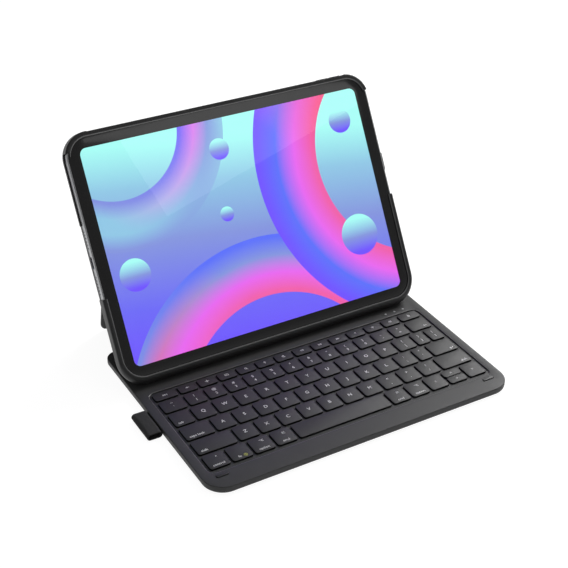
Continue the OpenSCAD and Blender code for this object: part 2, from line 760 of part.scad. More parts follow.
module caps_lock_key() {
    key_group(CAPS, home_row_y, key_d);
}
module home_letter_keys() {
    key_group(HOME, home_row_y, key_d);
}
module enter_key() {
    key_group(ENTER, home_row_y, key_d);
}
module left_shift_key() {
    key_group(LEFT_SHIFT, lower_row_y, key_d);
}
module lower_letter_keys() {
    key_group(LOWER, lower_row_y, key_d);
}
module right_shift_key() {
    key_group(RIGHT_SHIFT, lower_row_y, key_d);
}
module modifier_keys() {
    key_group(MODIFIERS, field_y, key_d);
}
module space_key() {
    key_group(SPACE, field_y, key_d);
}
module left_arrow_key() {
    key_group(LEFT_ARROW, field_y, key_d);
}
module up_arrow_key() {
    key_group(MIDDLE_ARROW, field_y + key_d - half_key_d, half_key_d);
}
module down_arrow_key() {
    key_group(MIDDLE_ARROW, field_y, half_key_d);
}
module right_arrow_key() {
    key_group(RIGHT_ARROW, field_y, key_d);
}

// ---- docking rail ----
// The round lower edge of the shell tilts in the rail's seat. Magnets hold the rail on the deck.
module docking_rail() {
    front = seat_r * cos(seat_low);
    low = -axis_above_deck + slide_gap;
    top = seat_r * sin(seat_high);
    profile = [[front, low], [front, top], [rail_reach - rail_bevel, top], [rail_reach, top - rail_bevel],
        [rail_reach, low]];
    color(SOFT_BLACK) difference() {
        translate([dock_x - rail_w / 2, axis_y, axis_z]) rotate([90, 0, 90])
            linear_extrude(rail_w) polygon(profile);
        rod(dock_x - rail_w / 2 - CUT, dock_x + rail_w / 2 + CUT, axis_y, axis_z, seat_r);
        for (x = MAGNET_X)
            slab([x, rail_magnet_y], rail_magnet_w, rail_magnet_d, base_h, rail_magnet_z + rail_magnet_t);
    }
}
module rail_magnets() {
    color(MAGNET) for (x = MAGNET_X)
        slab([x, rail_magnet_y], rail_magnet_w, rail_magnet_d, rail_magnet_z, rail_magnet_z + rail_magnet_t);
}

// ---- shell, drawn with its tilt axis along X through the origin, +Y up the tablet, +Z to the viewer ----
module on_shell() {
    translate([dock_x, axis_y, axis_z]) rotate([lean, 0, 0]) children();
}
// the tablet's outline, grown by g
function tablet_outline(g) =
    round_rect([0, tablet_cy], tablet_w + 2 * g, tablet_h + 2 * g, tablet_corner_r + g);
module shell_body() {
    hull() for (a = SHELL_ANGLES) {
        z = min(shell_r * sin(a), shell_r - EPS);
        side = max(rim_inset(z + shell_r, rear_edge_r), rim_inset(shell_r - z, front_edge_r));
        points = round_box(-case_w / 2 + side, case_w / 2 - side,
            case_y0 + shell_r * (1 - cos(a)), case_y1 - side, case_corner_r - side, case_corner_r - side);
        prism(points, z, z + EPS);
    }
}
// openings of the soft frame: the tablet's port and speakers on the left, its bare edge on the right
module side_cuts() {
    out = case_w / 2 + CUT;
    lip_end = tablet_w / 2 - lip_w - lip_play;
    edge = tablet_w / 2 + tablet_fit;
    block(-out, -edge, side_cut_low, side_cut_high, -shell_r - CUT, shell_r + CUT);
    block(-out, -lip_end, side_cut_low, slim_wall_high, slim_wall_z, shell_r + CUT);
    block(edge, out, right_cut_low, right_cut_high, -shell_r - CUT, shell_r + CUT);
    block(lip_end, out, right_cut_low, right_cut_high, tablet_z + 1, shell_r + CUT);
}
module volume_cuts() {
    for (x = VOLUME_X) block(x - volume_len / 2 - button_gap, x + volume_len / 2 + button_gap,
        tablet_y1 - CUT, case_y1 + CUT, volume_z0 - button_gap, volume_z1 + button_gap);
}
module shell_frame() {
    color(SOFT_BLACK) on_shell() difference() {
        shell_body();
        prism(tablet_outline(tablet_fit), tablet_z, glass_z);
        prism(tablet_outline(-lip_w), glass_z - CUT, shell_r + CUT);
        prism(tablet_outline(-rear_return), -shell_r - CUT, tablet_z + CUT);
        side_cuts();
        block(step_x0, step_x1, case_y1 - bumper_step, case_y1 + CUT, -shell_r - CUT, shell_r + CUT);
        volume_cuts();
        shell_magnet_row();
    }
}
module shell_magnet_row() {
    for (x = MAGNET_X) slab([x - dock_x, case_y0 + shell_magnet_y], shell_magnet_w, shell_magnet_t,
        -shell_magnet_d / 2, shell_magnet_d / 2);
}
module shell_magnets() {
    color(MAGNET) on_shell() shell_magnet_row();
}
// everything that the folded kickstand needs room for in the rear panel
module kick_recess() {
    recess_top = -shell_r + kick_t + recess_gap;
    prism(round_box(-kick_w / 2 - kick_clear, kick_w / 2 + kick_clear, plate_end - foot_r - kick_clear,
        hinge_y - barrel_r + kick_clear, kick_corner_r + kick_clear, 1), -shell_r - CUT, recess_top);
    slab([0, plate_end], foot_len + 2 * kick_clear, 2 * (foot_r + kick_clear),
        -shell_r - CUT, plate_mid + foot_r + recess_gap);
    for (s = [-1, 1]) {
        post([s * kick_w / 2, plate_end + notch_up], notch_r, -shell_r - CUT, recess_top, 40);
        slab([s * hinge_x, hinge_y], pin_len + 2 * kick_clear, 2 * (barrel_r + kick_clear),
            -shell_r - CUT, panel_z + CUT);
        block(s * hinge_x - pin_len / 2 - fit_gap, s * hinge_x + pin_len / 2 + fit_gap,
            hinge_y, leaf_end + fit_gap, -shell_r - CUT, leaf_top);
    }
}
module back_panel() {
    color(CHARCOAL) on_shell() difference() {
        prism(tablet_outline(-rear_return - panel_fit), -shell_r, panel_z);
        intersection() {
            kick_recess();
            prism(tablet_outline(-rear_return - panel_rim), -shell_t, shell_t);
        }
        post([camera_x, camera_y], camera_r, -shell_t, shell_t, 48);
        kick_magnet_pair(kick_t + recess_gap, panel_magnet_t);
    }
}
// magnets near the folded plate's free end; depth is measured from the shell's rear face
module kick_magnet_pair(depth, t) {
    z0 = -shell_r + depth;
    for (x = [-kick_magnet_x, kick_magnet_x])
        slab([x, plate_end + kick_magnet_up], kick_magnet_w, kick_magnet_d, z0, z0 + t);
}
module catch_magnets() {
    color(MAGNET) on_shell() kick_magnet_pair(kick_t + recess_gap, panel_magnet_t);
}
module inner_lining() {
    color("#3a3a3c") on_shell() difference() {
        prism(tablet_outline(-rear_return - panel_fit), panel_z, tablet_z);
        post([camera_x, camera_y], camera_r, -shell_t, shell_t, 48);
    }
}
module camera_ring() {
    color("#6b6d70") on_shell() difference() {
        post([camera_x, camera_y], camera_r - snug, -shell_r - camera_ring_proud, tablet_z, 48);
        post([camera_x, camera_y], camera_r - camera_wall, -shell_t, shell_t, 48);
    }
}
module hinge_leaves() {
    color(STEEL) on_shell() for (s = [-1, 1]) translate([s * hinge_x, 0, 0]) difference() {
        union() {
            for (e = [-1, 1]) {
                x = e * (barrel_len / 2 + knuckle_gap + leaf_knuckle / 2);
                rod(x - leaf_knuckle / 2, x + leaf_knuckle / 2, hinge_y, hinge_z, barrel_r);
                block(x - leaf_knuckle / 2, x + leaf_knuckle / 2, hinge_y, leaf_end, hinge_z, leaf_top);
            }
            block(-pin_len / 2, pin_len / 2, hinge_y + barrel_r + kick_clear, leaf_end,
                -shell_r + recess_gap, leaf_top);
        }
        rod(-pin_len, pin_len, hinge_y, hinge_z, hinge_pin_r + pin_fit);
    }
}
module hinge_pins() {
    color(STEEL) on_shell() for (s = [-1, 1])
        rod(s * hinge_x - pin_len / 2, s * hinge_x + pin_len / 2, hinge_y, hinge_z, hinge_pin_r);
}
module volume_cover(x) {
    color(SOFT_BLACK) on_shell() block(x - volume_len / 2, x + volume_len / 2, tablet_y1 + button_room,
        case_y1 - bumper_step + button_proud, volume_z0, volume_z1);
}
module volume_up_cover() {
    volume_cover(VOLUME_X[1]);
}
module volume_down_cover() {
    volume_cover(VOLUME_X[0]);
}
module power_button_cover() {
    color(SOFT_BLACK) on_shell() block(tablet_w / 2 + button_room, case_w / 2 + button_proud,
        power_y - power_len / 2, power_y + power_len / 2, -power_h / 2, power_h / 2);
}

// ---- tablet ----
module tablet_edge_hole(y, z, r) {
    rod(-tablet_w / 2 - CUT, -tablet_w / 2 + edge_hole_depth, y, z, r);
}
module tablet_port() {
    for (s = [-1, 1]) tablet_edge_hole(tablet_cy + s * tablet_port_w / 2, tablet_mid, tablet_port_r);
    block(-tablet_w / 2 - CUT, -tablet_w / 2 + edge_hole_depth, tablet_cy - tablet_port_w / 2,
        tablet_cy + tablet_port_w / 2, tablet_mid - tablet_port_r, tablet_mid + tablet_port_r);
}
module tablet_housing() {
    color("#c9ccd0") on_shell() difference() {
        union() {
            prism(tablet_outline(-tablet_rim), tablet_z, tablet_z + tablet_rim);
            prism(tablet_outline(0), tablet_z + tablet_rim, housing_top);
        }
        prism(tablet_outline(-housing_wall), tablet_z + housing_wall, housing_top - display_t);
        prism(round_rect([0, tablet_cy], display_w + 2 * fit_gap, display_h + 2 * fit_gap, display_corner_r),
            housing_top - display_t - CUT, housing_top + CUT);
        tablet_port();
        for (s = [-1, 1]) for (i = [0 : speaker_count - 1])
            tablet_edge_hole(tablet_cy + s * (speaker_start + speaker_pitch * i), tablet_mid, speaker_r);
    }
}
module tablet_display() {
    outline = round_rect([0, tablet_cy], display_w, display_h, display_corner_r);
    color("#7a5cff") on_shell() prism(outline, housing_top - display_t, housing_top);
}
module tablet_glass() {
    color("#151517") on_shell() prism(tablet_outline(-glass_inset), housing_top, glass_z);
}
module tablet_camera() {
    color("#202226") on_shell()
        post([camera_x, camera_y], tablet_camera_r, tablet_z - tablet_camera_h, tablet_z, 48);
}

// ---- kickstand, drawn folded on the shell and then swung open ----
module on_kickstand() {
    on_shell() translate([0, hinge_y, hinge_z]) rotate([kick_angle, 0, 0])
        translate([0, -hinge_y, -hinge_z]) children();
}
module kickstand_plate() {
    z1 = -shell_r + kick_t;
    color("#505054") on_kickstand() difference() {
        union() {
            prism(round_box(-kick_w / 2, kick_w / 2, plate_end, hinge_y - barrel_r - kick_clear,
                kick_corner_r, 0.5), -shell_r, z1);
            for (s = [-1, 1]) {
                rod(s * hinge_x - barrel_len / 2, s * hinge_x + barrel_len / 2, hinge_y, hinge_z, barrel_r);
                slab([s * hinge_x, hinge_y - (barrel_r + 1) / 2], barrel_len, barrel_r + 1,
                    -shell_r + tongue_inset, z1 - tongue_inset);
            }
        }
        for (s = [-1, 1])
            rod(s * hinge_x - pin_len, s * hinge_x + pin_len, hinge_y, hinge_z, hinge_pin_r + pin_fit);
        slab([0, plate_end], foot_len + 2 * snug, 2 * (foot_r + snug), -shell_t, shell_t);
        kick_magnet_pair(plate_skin, kick_magnet_t);
    }
}
module kickstand_foot() {
    color("#1d1d1f") on_kickstand() difference() {
        rod(-foot_len / 2, foot_len / 2, plate_end, plate_mid, foot_r);
        block(-foot_len, foot_len, plate_end + foot_r - snug, plate_end + foot_r + CUT, -shell_t, shell_t);
    }
}
module kickstand_magnets() {
    color(MAGNET) on_kickstand() kick_magnet_pair(plate_skin, kick_magnet_t);
}

base_top_cover();
base_bottom_cover();
key_plate();
key_membrane();
key_domes();
key_ribbon();
battery_cells();
circuit_board();
usb_c_port();
switch_housing();
power_switch();
indicator_lights();
front_bumpers();
typing_magnets();
closing_magnets();
base_screws();
pen_loop();
pen_loop_anchor();
escape_key();
function_keys();
number_keys();
backspace_key();
tab_key();
upper_letter_keys();
caps_lock_key();
home_letter_keys();
enter_key();
left_shift_key();
lower_letter_keys();
right_shift_key();
modifier_keys();
space_key();
left_arrow_key();
up_arrow_key();
down_arrow_key();
right_arrow_key();
docking_rail();
rail_magnets();
shell_frame();
back_panel();
inner_lining();
camera_ring();
shell_magnets();
catch_magnets();
hinge_leaves();
hinge_pins();
volume_up_cover();
volume_down_cover();
power_button_cover();
tablet_housing();
tablet_display();
tablet_glass();
tablet_camera();
kickstand_plate();
kickstand_foot();
kickstand_magnets();
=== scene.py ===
import json
import math

import bmesh
import bpy
from mathutils import Matrix, Vector
from mathutils.geometry import tessellate_polygon


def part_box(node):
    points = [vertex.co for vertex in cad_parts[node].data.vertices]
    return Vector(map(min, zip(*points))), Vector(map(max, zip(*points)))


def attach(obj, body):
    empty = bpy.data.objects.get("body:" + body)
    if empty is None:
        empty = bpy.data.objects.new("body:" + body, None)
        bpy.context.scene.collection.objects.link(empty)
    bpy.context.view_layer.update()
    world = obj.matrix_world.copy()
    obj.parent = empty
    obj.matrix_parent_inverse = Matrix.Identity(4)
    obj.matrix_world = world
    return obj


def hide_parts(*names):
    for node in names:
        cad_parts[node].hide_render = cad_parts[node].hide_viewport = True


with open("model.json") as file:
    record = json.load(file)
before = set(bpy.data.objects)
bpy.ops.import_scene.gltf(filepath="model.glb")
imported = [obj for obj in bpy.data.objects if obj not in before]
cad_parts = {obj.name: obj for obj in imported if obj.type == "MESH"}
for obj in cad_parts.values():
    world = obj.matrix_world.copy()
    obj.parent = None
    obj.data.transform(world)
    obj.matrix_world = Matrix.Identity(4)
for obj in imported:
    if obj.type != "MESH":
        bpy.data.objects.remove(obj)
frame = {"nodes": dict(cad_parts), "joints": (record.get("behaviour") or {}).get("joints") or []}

bl_info = {
    "name": "Tablet keyboard case",
    "version": (1, 0, 0),
    "blender": (4, 5, 0),
    "location": "View3D > Sidebar > Keyboard case",
    "description": "Models the visible pieces of a tablet keyboard case and a studio around it",
    "category": "Object",
}

MM = 0.001
SHARP = math.radians(32)  # an edge that turns more than this is a crease
TRAY_RIM_STEPS = 4  # straight pieces across the tray's rounded rim
SHELL_RIM_STEPS = 24  # straight pieces around the outside of the soft frame's section
SIGN_SHIFT = 0.18  # two signs on a key stand this share of its depth above and below its middle
# Openings in the soft frame, as heights from its lower edge: where each side wall is gone, and up to where
# the left wall's inner part stays cut back
LEFT_GAP = (66 * MM, 119.5 * MM)
LEFT_STEP_TOP = 170.5 * MM
RIGHT_GAP = (85 * MM, 167.9 * MM)
# The shallow step along the frame's upper edge: its ends across the frame, and its depth
TOP_STEP = (-105 * MM, 108 * MM)
TOP_STEP_DEPTH = 0.4 * MM
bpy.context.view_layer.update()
NODES = frame["nodes"]
JOINTS = {joint["name"]: joint for joint in frame["joints"]}

KEY_NODES = (
    "escape_key", "function_keys", "number_keys", "backspace_key", "tab_key", "upper_letter_keys",
    "caps_lock_key", "home_letter_keys", "enter_key", "left_shift_key", "lower_letter_keys",
    "right_shift_key", "modifier_keys", "space_key", "left_arrow_key", "up_arrow_key",
    "down_arrow_key", "right_arrow_key",
)

# What is printed on the keys of each node, from left to right. A plain string is a letter in the middle, a
# pair is a sign above another, and "corner:word" puts a word in the key's lower left or right corner. A word
# in angle brackets is a small drawing from ICONS.
LEGENDS = {
    "escape_key": ["esc"],
    "function_keys": ["<sun>", "<bright>", "<boxes>", "<lens>", "<mic>", "<moon>", "<back>", "<play>",
                      "<next>", "<mute>", "<quiet>", "<loud>", "<lock>"],
    "number_keys": [("~", "`")] + list(zip("!@#$%^&*()_+", "1234567890-=")),
    "backspace_key": ["right:<erase>"],
    "tab_key": ["left:tab"],
    "upper_letter_keys": list("QWERTYUIOP") + [("{", "["), ("}", "]"), ("|", "\\")],
    "caps_lock_key": ["left:caps lock"],
    "home_letter_keys": list("ASDFGHJKL") + [(":", ";"), ('"', "'")],
    "enter_key": ["right:<enter>"],
    "left_shift_key": ["left:shift"],
    "lower_letter_keys": list("ZXCVBNM") + [("<", ","), (">", "."), ("?", "/")],
    "right_shift_key": ["right:shift"],
    "modifier_keys": [("^", "control"), ("<globe>", "fn"), ("<branch>", "option"), ("<knot>", "cmd"),
                      ("<knot>", "cmd"), ("<branch>", "option")],
    "space_key": [""],
    "left_arrow_key": ["<left>"],
    "up_arrow_key": ["<up>"],
    "down_arrow_key": ["<down>"],
    "right_arrow_key": ["<right>"],
}

# Small drawings as open lines, in a square from -1 to 1
BOX = [(-0.9, -0.6), (0.9, -0.6), (0.9, 0.6), (-0.9, 0.6), (-0.9, -0.6)]
ICONS = {
    "sun": [[(-0.3, 0), (0.3, 0)], [(0, -0.3), (0, 0.3)], [(-0.9, 0), (-0.6, 0)], [(0.6, 0), (0.9, 0)]],
    "bright": [[(-0.3, -0.3), (0.3, 0.3)], [(-0.3, 0.3), (0.3, -0.3)], [(-1, 0), (1, 0)],
               [(0, -0.9), (0, 0.9)]],
    "boxes": [BOX, [(0, -0.6), (0, 0.6)]],
    "lens": [[(0, 0.7), (-0.6, 0.2), (-0.3, -0.4), (0.3, -0.4), (0.6, 0.2), (0, 0.7)],
             [(0.3, -0.4), (0.8, -0.9)]],
    "mic": [[(-0.2, -0.1), (-0.2, 0.7), (0.2, 0.7), (0.2, -0.1), (-0.2, -0.1)],
            [(-0.5, 0), (0, -0.5), (0.5, 0)],
            [(0, -0.5), (0, -0.9)]],
    "moon": [[(0.3, 0.7), (-0.4, 0.5), (-0.7, -0.1), (-0.2, -0.7), (0.6, -0.6)],
             [(0.3, 0.7), (0, 0.1), (0.6, -0.6)]],
    "back": [[(0, 0.5), (-0.9, 0), (0, -0.5), (0, 0.5)], [(0.9, 0.5), (0, 0), (0.9, -0.5), (0.9, 0.5)]],
    "play": [[(-0.8, 0.5), (0.1, 0), (-0.8, -0.5), (-0.8, 0.5)], [(0.4, 0.5), (0.4, -0.5)],
             [(0.8, 0.5), (0.8, -0.5)]],
    "next": [[(0, 0.5), (0.9, 0), (0, -0.5), (0, 0.5)], [(-0.9, 0.5), (0, 0), (-0.9, -0.5), (-0.9, 0.5)]],
    "mute": [[(-0.6, 0.2), (-0.3, 0.2), (0.1, 0.6), (0.1, -0.6), (-0.3, -0.2), (-0.6, -0.2), (-0.6, 0.2)]],
    "quiet": [[(-0.8, 0.2), (-0.5, 0.2), (-0.1, 0.6), (-0.1, -0.6), (-0.5, -0.2), (-0.8, -0.2), (-0.8, 0.2)],
              [(0.3, 0.3), (0.4, 0), (0.3, -0.3)]],
    "loud": [[(-0.8, 0.2), (-0.5, 0.2), (-0.1, 0.6), (-0.1, -0.6), (-0.5, -0.2), (-0.8, -0.2), (-0.8, 0.2)],
             [(0.3, 0.3), (0.4, 0), (0.3, -0.3)], [(0.6, 0.6), (0.8, 0), (0.6, -0.6)]],
    "lock": [[(-0.6, -0.7), (0.6, -0.7), (0.6, 0.1), (-0.6, 0.1), (-0.6, -0.7)],
             [(-0.4, 0.1), (-0.4, 0.6), (0, 0.8), (0.4, 0.6), (0.4, 0.1)], [(0, -0.1), (0, -0.4)]],
    "globe": [[(0.9, 0), (0.64, 0.64), (0, 0.9), (-0.64, 0.64), (-0.9, 0), (-0.64, -0.64), (0, -0.9),
               (0.64, -0.64),
               (0.9, 0)], [(-0.9, 0), (0.9, 0)], [(0, -0.9), (0, 0.9)]],
    "erase": [[(0.9, 0), (-0.9, 0)], [(-0.4, 0.5), (-0.9, 0), (-0.4, -0.5)]],
    "enter": [[(0.9, 0.6), (0.9, -0.1), (-0.9, -0.1)], [(-0.4, 0.4), (-0.9, -0.1), (-0.4, -0.6)]],
    "branch": [[(-0.9, 0.5), (-0.3, 0.5), (0.4, -0.5), (0.9, -0.5)], [(0.3, 0.5), (0.9, 0.5)]],
    "knot": [[(-0.8, -0.4), (-0.4, -0.8), (-0.4, 0.8), (-0.8, 0.4), (0.8, 0.4), (0.4, 0.8), (0.4, -0.8),
              (0.8, -0.4), (-0.8, -0.4)]],
    "left": [[(0.4, 0.6), (-0.5, 0), (0.4, -0.6), (0.4, 0.6)], [(0.2, 0.2), (-0.2, 0), (0.2, -0.2)]],
    "right": [[(-0.4, 0.6), (0.5, 0), (-0.4, -0.6), (-0.4, 0.6)], [(-0.2, 0.2), (0.2, 0), (-0.2, -0.2)]],
    "up": [[(-0.6, -0.4), (0, 0.5), (0.6, -0.4), (-0.6, -0.4)], [(-0.2, -0.2), (0, 0.2), (0.2, -0.2)]],
    "down": [[(-0.6, 0.4), (0, -0.5), (0.6, 0.4), (-0.6, 0.4)], [(-0.2, 0.2), (0, -0.2), (0.2, 0.2)]],
}


# ---------------------------------------------------------------- settings

class CaseSettings(bpy.types.PropertyGroup):
    """Sizes of the finish on the keyboard base and the shell, in metres"""
    seam_z: bpy.props.FloatProperty(name="Seam height", description="Height of the seam between the covers",
                                    default=2.8 * MM, unit="LENGTH")
    wall: bpy.props.FloatProperty(name="Cover wall", description="Wall around both covers", default=1.3 * MM,
                                  unit="LENGTH")
    front_radius: bpy.props.FloatProperty(name="Front corner radius", description="Base corners at the front",
                                          default=15.5 * MM, unit="LENGTH")
    rear_radius: bpy.props.FloatProperty(name="Rear corner radius", description="Base corners at the rear",
                                         default=9 * MM, unit="LENGTH")
    deck_round: bpy.props.FloatProperty(name="Deck rim rounding", description="Rounding along the deck's rim",
                                        default=0.6 * MM, unit="LENGTH")
    under_round: bpy.props.FloatProperty(name="Underside rounding",
                                         description="Rounding along the underside",
                                         default=2.6 * MM, unit="LENGTH")
    tray_radius: bpy.props.FloatProperty(name="Tray corner radius", description="Corners of the sunk tray",
                                         default=5.5 * MM, unit="LENGTH")
    tray_round: bpy.props.FloatProperty(name="Tray rim rounding", description="Rounding along the tray's rim",
                                        default=0.5 * MM, unit="LENGTH")
    tray_floor: bpy.props.FloatProperty(name="Tray floor", description="Thickness of the tray's floor",
                                        default=0.9 * MM, unit="LENGTH")
    deck_wall: bpy.props.FloatProperty(name="Deck", description="Thickness of the deck", default=0.8 * MM,
                                       unit="LENGTH")
    bumper_gap: bpy.props.FloatProperty(name="Bumper gap", description="Groove around each bumper",
                                        default=0.3 * MM, unit="LENGTH")
    steps: bpy.props.IntProperty(name="Corner steps", description="Straight pieces in a rounded corner",
                                 default=12)


class KeySettings(bpy.types.PropertyGroup):
    """Sizes of the key caps and their legends, in metres"""
    rise: bpy.props.FloatProperty(name="Rise", description="Key tops above the tray's floor",
                                  default=1.2 * MM,
                                  unit="LENGTH")
    radius: bpy.props.FloatProperty(name="Corner radius", description="Radius of a cap's corners",
                                    default=1.8 * MM, unit="LENGTH")
    edge: bpy.props.FloatProperty(name="Edge rounding", description="Rounding along a cap's upper edge",
                                  default=0.3 * MM, unit="LENGTH")
    hole_gap: bpy.props.FloatProperty(name="Hole clearance", description="Between a key and its hole",
                                      default=0.2 * MM, unit="LENGTH")
    skirt: bpy.props.FloatProperty(name="Skirt", description="Height of a cap's side", default=1.8 * MM,
                                   unit="LENGTH")
    letter: bpy.props.FloatProperty(name="Letter size", description="Type size of a single letter",
                                    default=4.1 * MM, unit="LENGTH")
    sign: bpy.props.FloatProperty(name="Sign size", description="Type size of a digit or a sign",
                                  default=3.3 * MM, unit="LENGTH")
    word: bpy.props.FloatProperty(name="Word size", description="Type size of a word", default=3.0 * MM,
                                  unit="LENGTH")
    icon: bpy.props.FloatProperty(name="Drawing size", description="Width of a small drawing",
                                  default=2.9 * MM, unit="LENGTH")
    stroke: bpy.props.FloatProperty(name="Stroke", description="Width of a drawn line", default=0.42 * MM,
                                    unit="LENGTH")
    bolder: bpy.props.FloatProperty(name="Bolder", description="How much the type's strokes are thickened",
                                    default=0.02 * MM, unit="LENGTH")
    margin: bpy.props.FloatProperty(name="Margin", description="From a key's edge to a word",
                                    default=2.9 * MM,
                                    unit="LENGTH")
    ink: bpy.props.FloatProperty(name="Ink", description="Thickness of the printed ink", default=0.02 * MM,
                                 unit="LENGTH")


class ShellSettings(bpy.types.PropertyGroup):
    """Sizes of the shell around the tablet, in metres"""
    side_wall: bpy.props.FloatProperty(name="Side wall", description="Wall beside the tablet",
                                       default=1.0 * MM,
                                       unit="LENGTH")
    lip: bpy.props.FloatProperty(name="Lip", description="How far the lip reaches over the glass",
                                 default=2.7 * MM, unit="LENGTH")
    lip_slope_w: bpy.props.FloatProperty(name="Lip slope width", description="Sloped band along the lip",
                                         default=0.8 * MM, unit="LENGTH")
    lip_slope_h: bpy.props.FloatProperty(name="Lip slope height", description="Drop of the sloped band",
                                         default=0.4 * MM, unit="LENGTH")
    rim_w: bpy.props.FloatProperty(name="Tablet rim", description="Bare metal around the tablet's glass",
                                   default=1.1 * MM, unit="LENGTH")
    rim_round: bpy.props.FloatProperty(name="Tablet rim rounding", description="Rounding of the bare rim",
                                       default=0.7 * MM, unit="LENGTH")
    rear_return: bpy.props.FloatProperty(name="Rear return", description="Soft frame behind the tablet",
                                         default=4.0 * MM, unit="LENGTH")
    rear_round: bpy.props.FloatProperty(name="Rear rounding", description="Rounding of the rear rim",
                                        default=2.0 * MM, unit="LENGTH")
    front_round: bpy.props.FloatProperty(name="Front rounding", description="Rounding of the front rim",
                                         default=1.1 * MM, unit="LENGTH")
    tablet_radius: bpy.props.FloatProperty(name="Tablet corner radius", description="Corners of the tablet",
                                           default=17.5 * MM, unit="LENGTH")
    display_radius: bpy.props.FloatProperty(name="Display corner radius",
                                            description="Corners of the picture",
                                            default=5.0 * MM, unit="LENGTH")


class FinishSettings(bpy.types.PropertyGroup):
    """Colours of the moulded pieces and of the printing, as linear values"""
    deck: bpy.props.FloatVectorProperty(name="Deck", description="Plastic of the upper cover",
                                        default=(0.048, 0.048, 0.0485), min=0, max=1, subtype="COLOR")
    cover: bpy.props.FloatVectorProperty(name="Covers",
                                         description="Plastic of the lower cover and the rear panel",
                                         default=(0.014, 0.014, 0.015), min=0, max=1, subtype="COLOR")
    key: bpy.props.FloatVectorProperty(name="Keys", description="Plastic of the key caps",
                                       default=(0.024, 0.024, 0.0245), min=0, max=1, subtype="COLOR")
    rubber: bpy.props.FloatVectorProperty(name="Rubber",
                                          description="Soft rubber of the shell and the bumpers",
                                          default=(0.022, 0.022, 0.0225), min=0, max=1, subtype="COLOR")
    ink: bpy.props.FloatVectorProperty(name="Legends", description="Ink of the legends",
                                       default=(0.80, 0.80, 0.80), min=0, max=1, subtype="COLOR")
    mark: bpy.props.FloatVectorProperty(name="Mark",
                                        description="Ink of the mark beside the function key's word",
                                        default=(0.50, 0.52, 0.14), min=0, max=1, subtype="COLOR")


class StageSettings(bpy.types.PropertyGroup):
    """Where the camera stands and how it looks"""
    camera_place: bpy.props.FloatVectorProperty(name="Camera place", description="Where the camera stands",
                                                default=(-0.40225, -0.6395, 0.5555), subtype="TRANSLATION")
    azimuth: bpy.props.FloatProperty(name="Azimuth", description="Heading from +Y towards +X",
                                     default=math.radians(30.84), subtype="ANGLE")
    elevation: bpy.props.FloatProperty(name="Elevation", description="How far the camera looks down",
                                       default=math.radians(32.30), subtype="ANGLE")
    roll: bpy.props.FloatProperty(name="Roll", description="Turn about the line of sight",
                                  default=math.radians(1.19), subtype="ANGLE")
    lens: bpy.props.FloatProperty(name="Lens", description="Focal length in millimetres", default=81.25)


# ---------------------------------------------------------------- mesh helpers

def arc(cx, cy, r, a0, a1, steps):
    """Points on a circle's arc, angles in degrees."""
    angles = [math.radians(a0 + (a1 - a0) * i / steps) for i in range(steps + 1)]
    return [(cx + r * math.cos(a), cy + r * math.sin(a)) for a in angles]


def circle(x, y, radius):
    """24 points of a full circle."""
    return arc(x, y, radius, 0, 345, 23)


def round_box(x0, x1, y0, y1, r_low, r_high, steps):
    """A rounded rectangle, counter-clockwise; r_low rounds the corners at y0 and r_high those at y1."""
    return (arc(x1 - r_low, y0 + r_low, r_low, -90, 0, steps)
            + arc(x1 - r_high, y1 - r_high, r_high, 0, 90, steps)
            + arc(x0 + r_high, y1 - r_high, r_high, 90, 180, steps)
            + arc(x0 + r_low, y0 + r_low, r_low, 180, 270, steps))


def at_z(outline, z):
    return [Vector((x, y, z)) for x, y in outline]


def fillet(r, steps=5):
    """(inward, upward) pairs along a quarter round, from its side to its top."""
    angles = [math.pi / 2 * i / steps for i in range(steps + 1)]
    return [(r * (1 - math.cos(a)), r * math.sin(a)) for a in angles]


def ring(bm, low, high):
    """Quads between two loops of vertices with the same count."""
    for i in range(len(low)):
        j = (i + 1) % len(low)
        bm.faces.new((low[i], low[j], high[j], high[i]))


def skin(bm, loops, caps=(True, True), closed=False):
    """Joins loops of points in order. A loop list that runs up an outside has its faces outwards."""
    rows = [[bm.verts.new(p) for p in loop] for loop in loops]
    for low, high in zip(rows, rows[1:]):
        ring(bm, low, high)
    if closed:
        ring(bm, rows[-1], rows[0])
    elif caps[0]:
        bm.faces.new(list(reversed(rows[0])))
    if not closed and caps[1]:
        bm.faces.new(rows[-1])
    return rows


def fill_with_holes(bm, outer, holes, up):
    """Triangles between a loop of vertices and the loops of vertices inside it."""
    loops = [outer] + holes
    verts = [v for loop in loops for v in loop]
    for tri in tessellate_polygon([[v.co for v in loop] for loop in loops]):
        corners = [verts[i] for i in tri]
        normal = (corners[1].co - corners[0].co).cross(corners[2].co - corners[0].co)
        if (normal.z > 0) != up:
            corners.reverse()
        bm.faces.new(corners)


def islands(node):
    """(lowest corner, highest corner) of each separate solid of a CAD node, from left to right."""
    bm = bmesh.new()
    bm.from_mesh(NODES[node].data)
    bmesh.ops.remove_doubles(bm, verts=bm.verts, dist=1e-6)
    left = set(bm.verts)
    boxes = []
    while left:
        stack = [left.pop()]
        found = []
        while stack:
            v = stack.pop()
            found.append(v.co.copy())
            for e in v.link_edges:
                other = e.other_vert(v)
                if other in left:
                    left.remove(other)
                    stack.append(other)
        boxes.append((Vector(map(min, zip(*found))), Vector(map(max, zip(*found)))))
    bm.free()
    return sorted(boxes, key=lambda box: box[0].x)


def local_box(node, matrix):
    """(lowest corner, highest corner) of a CAD node in the frame that matrix places."""
    inverse = matrix.inverted()
    points = [inverse @ v.co for v in NODES[node].data.vertices]
    return Vector(map(min, zip(*points))), Vector(map(max, zip(*points)))


def is_crease(edge):
    return len(edge.link_faces) == 2 and edge.calc_face_angle(0) > SHARP


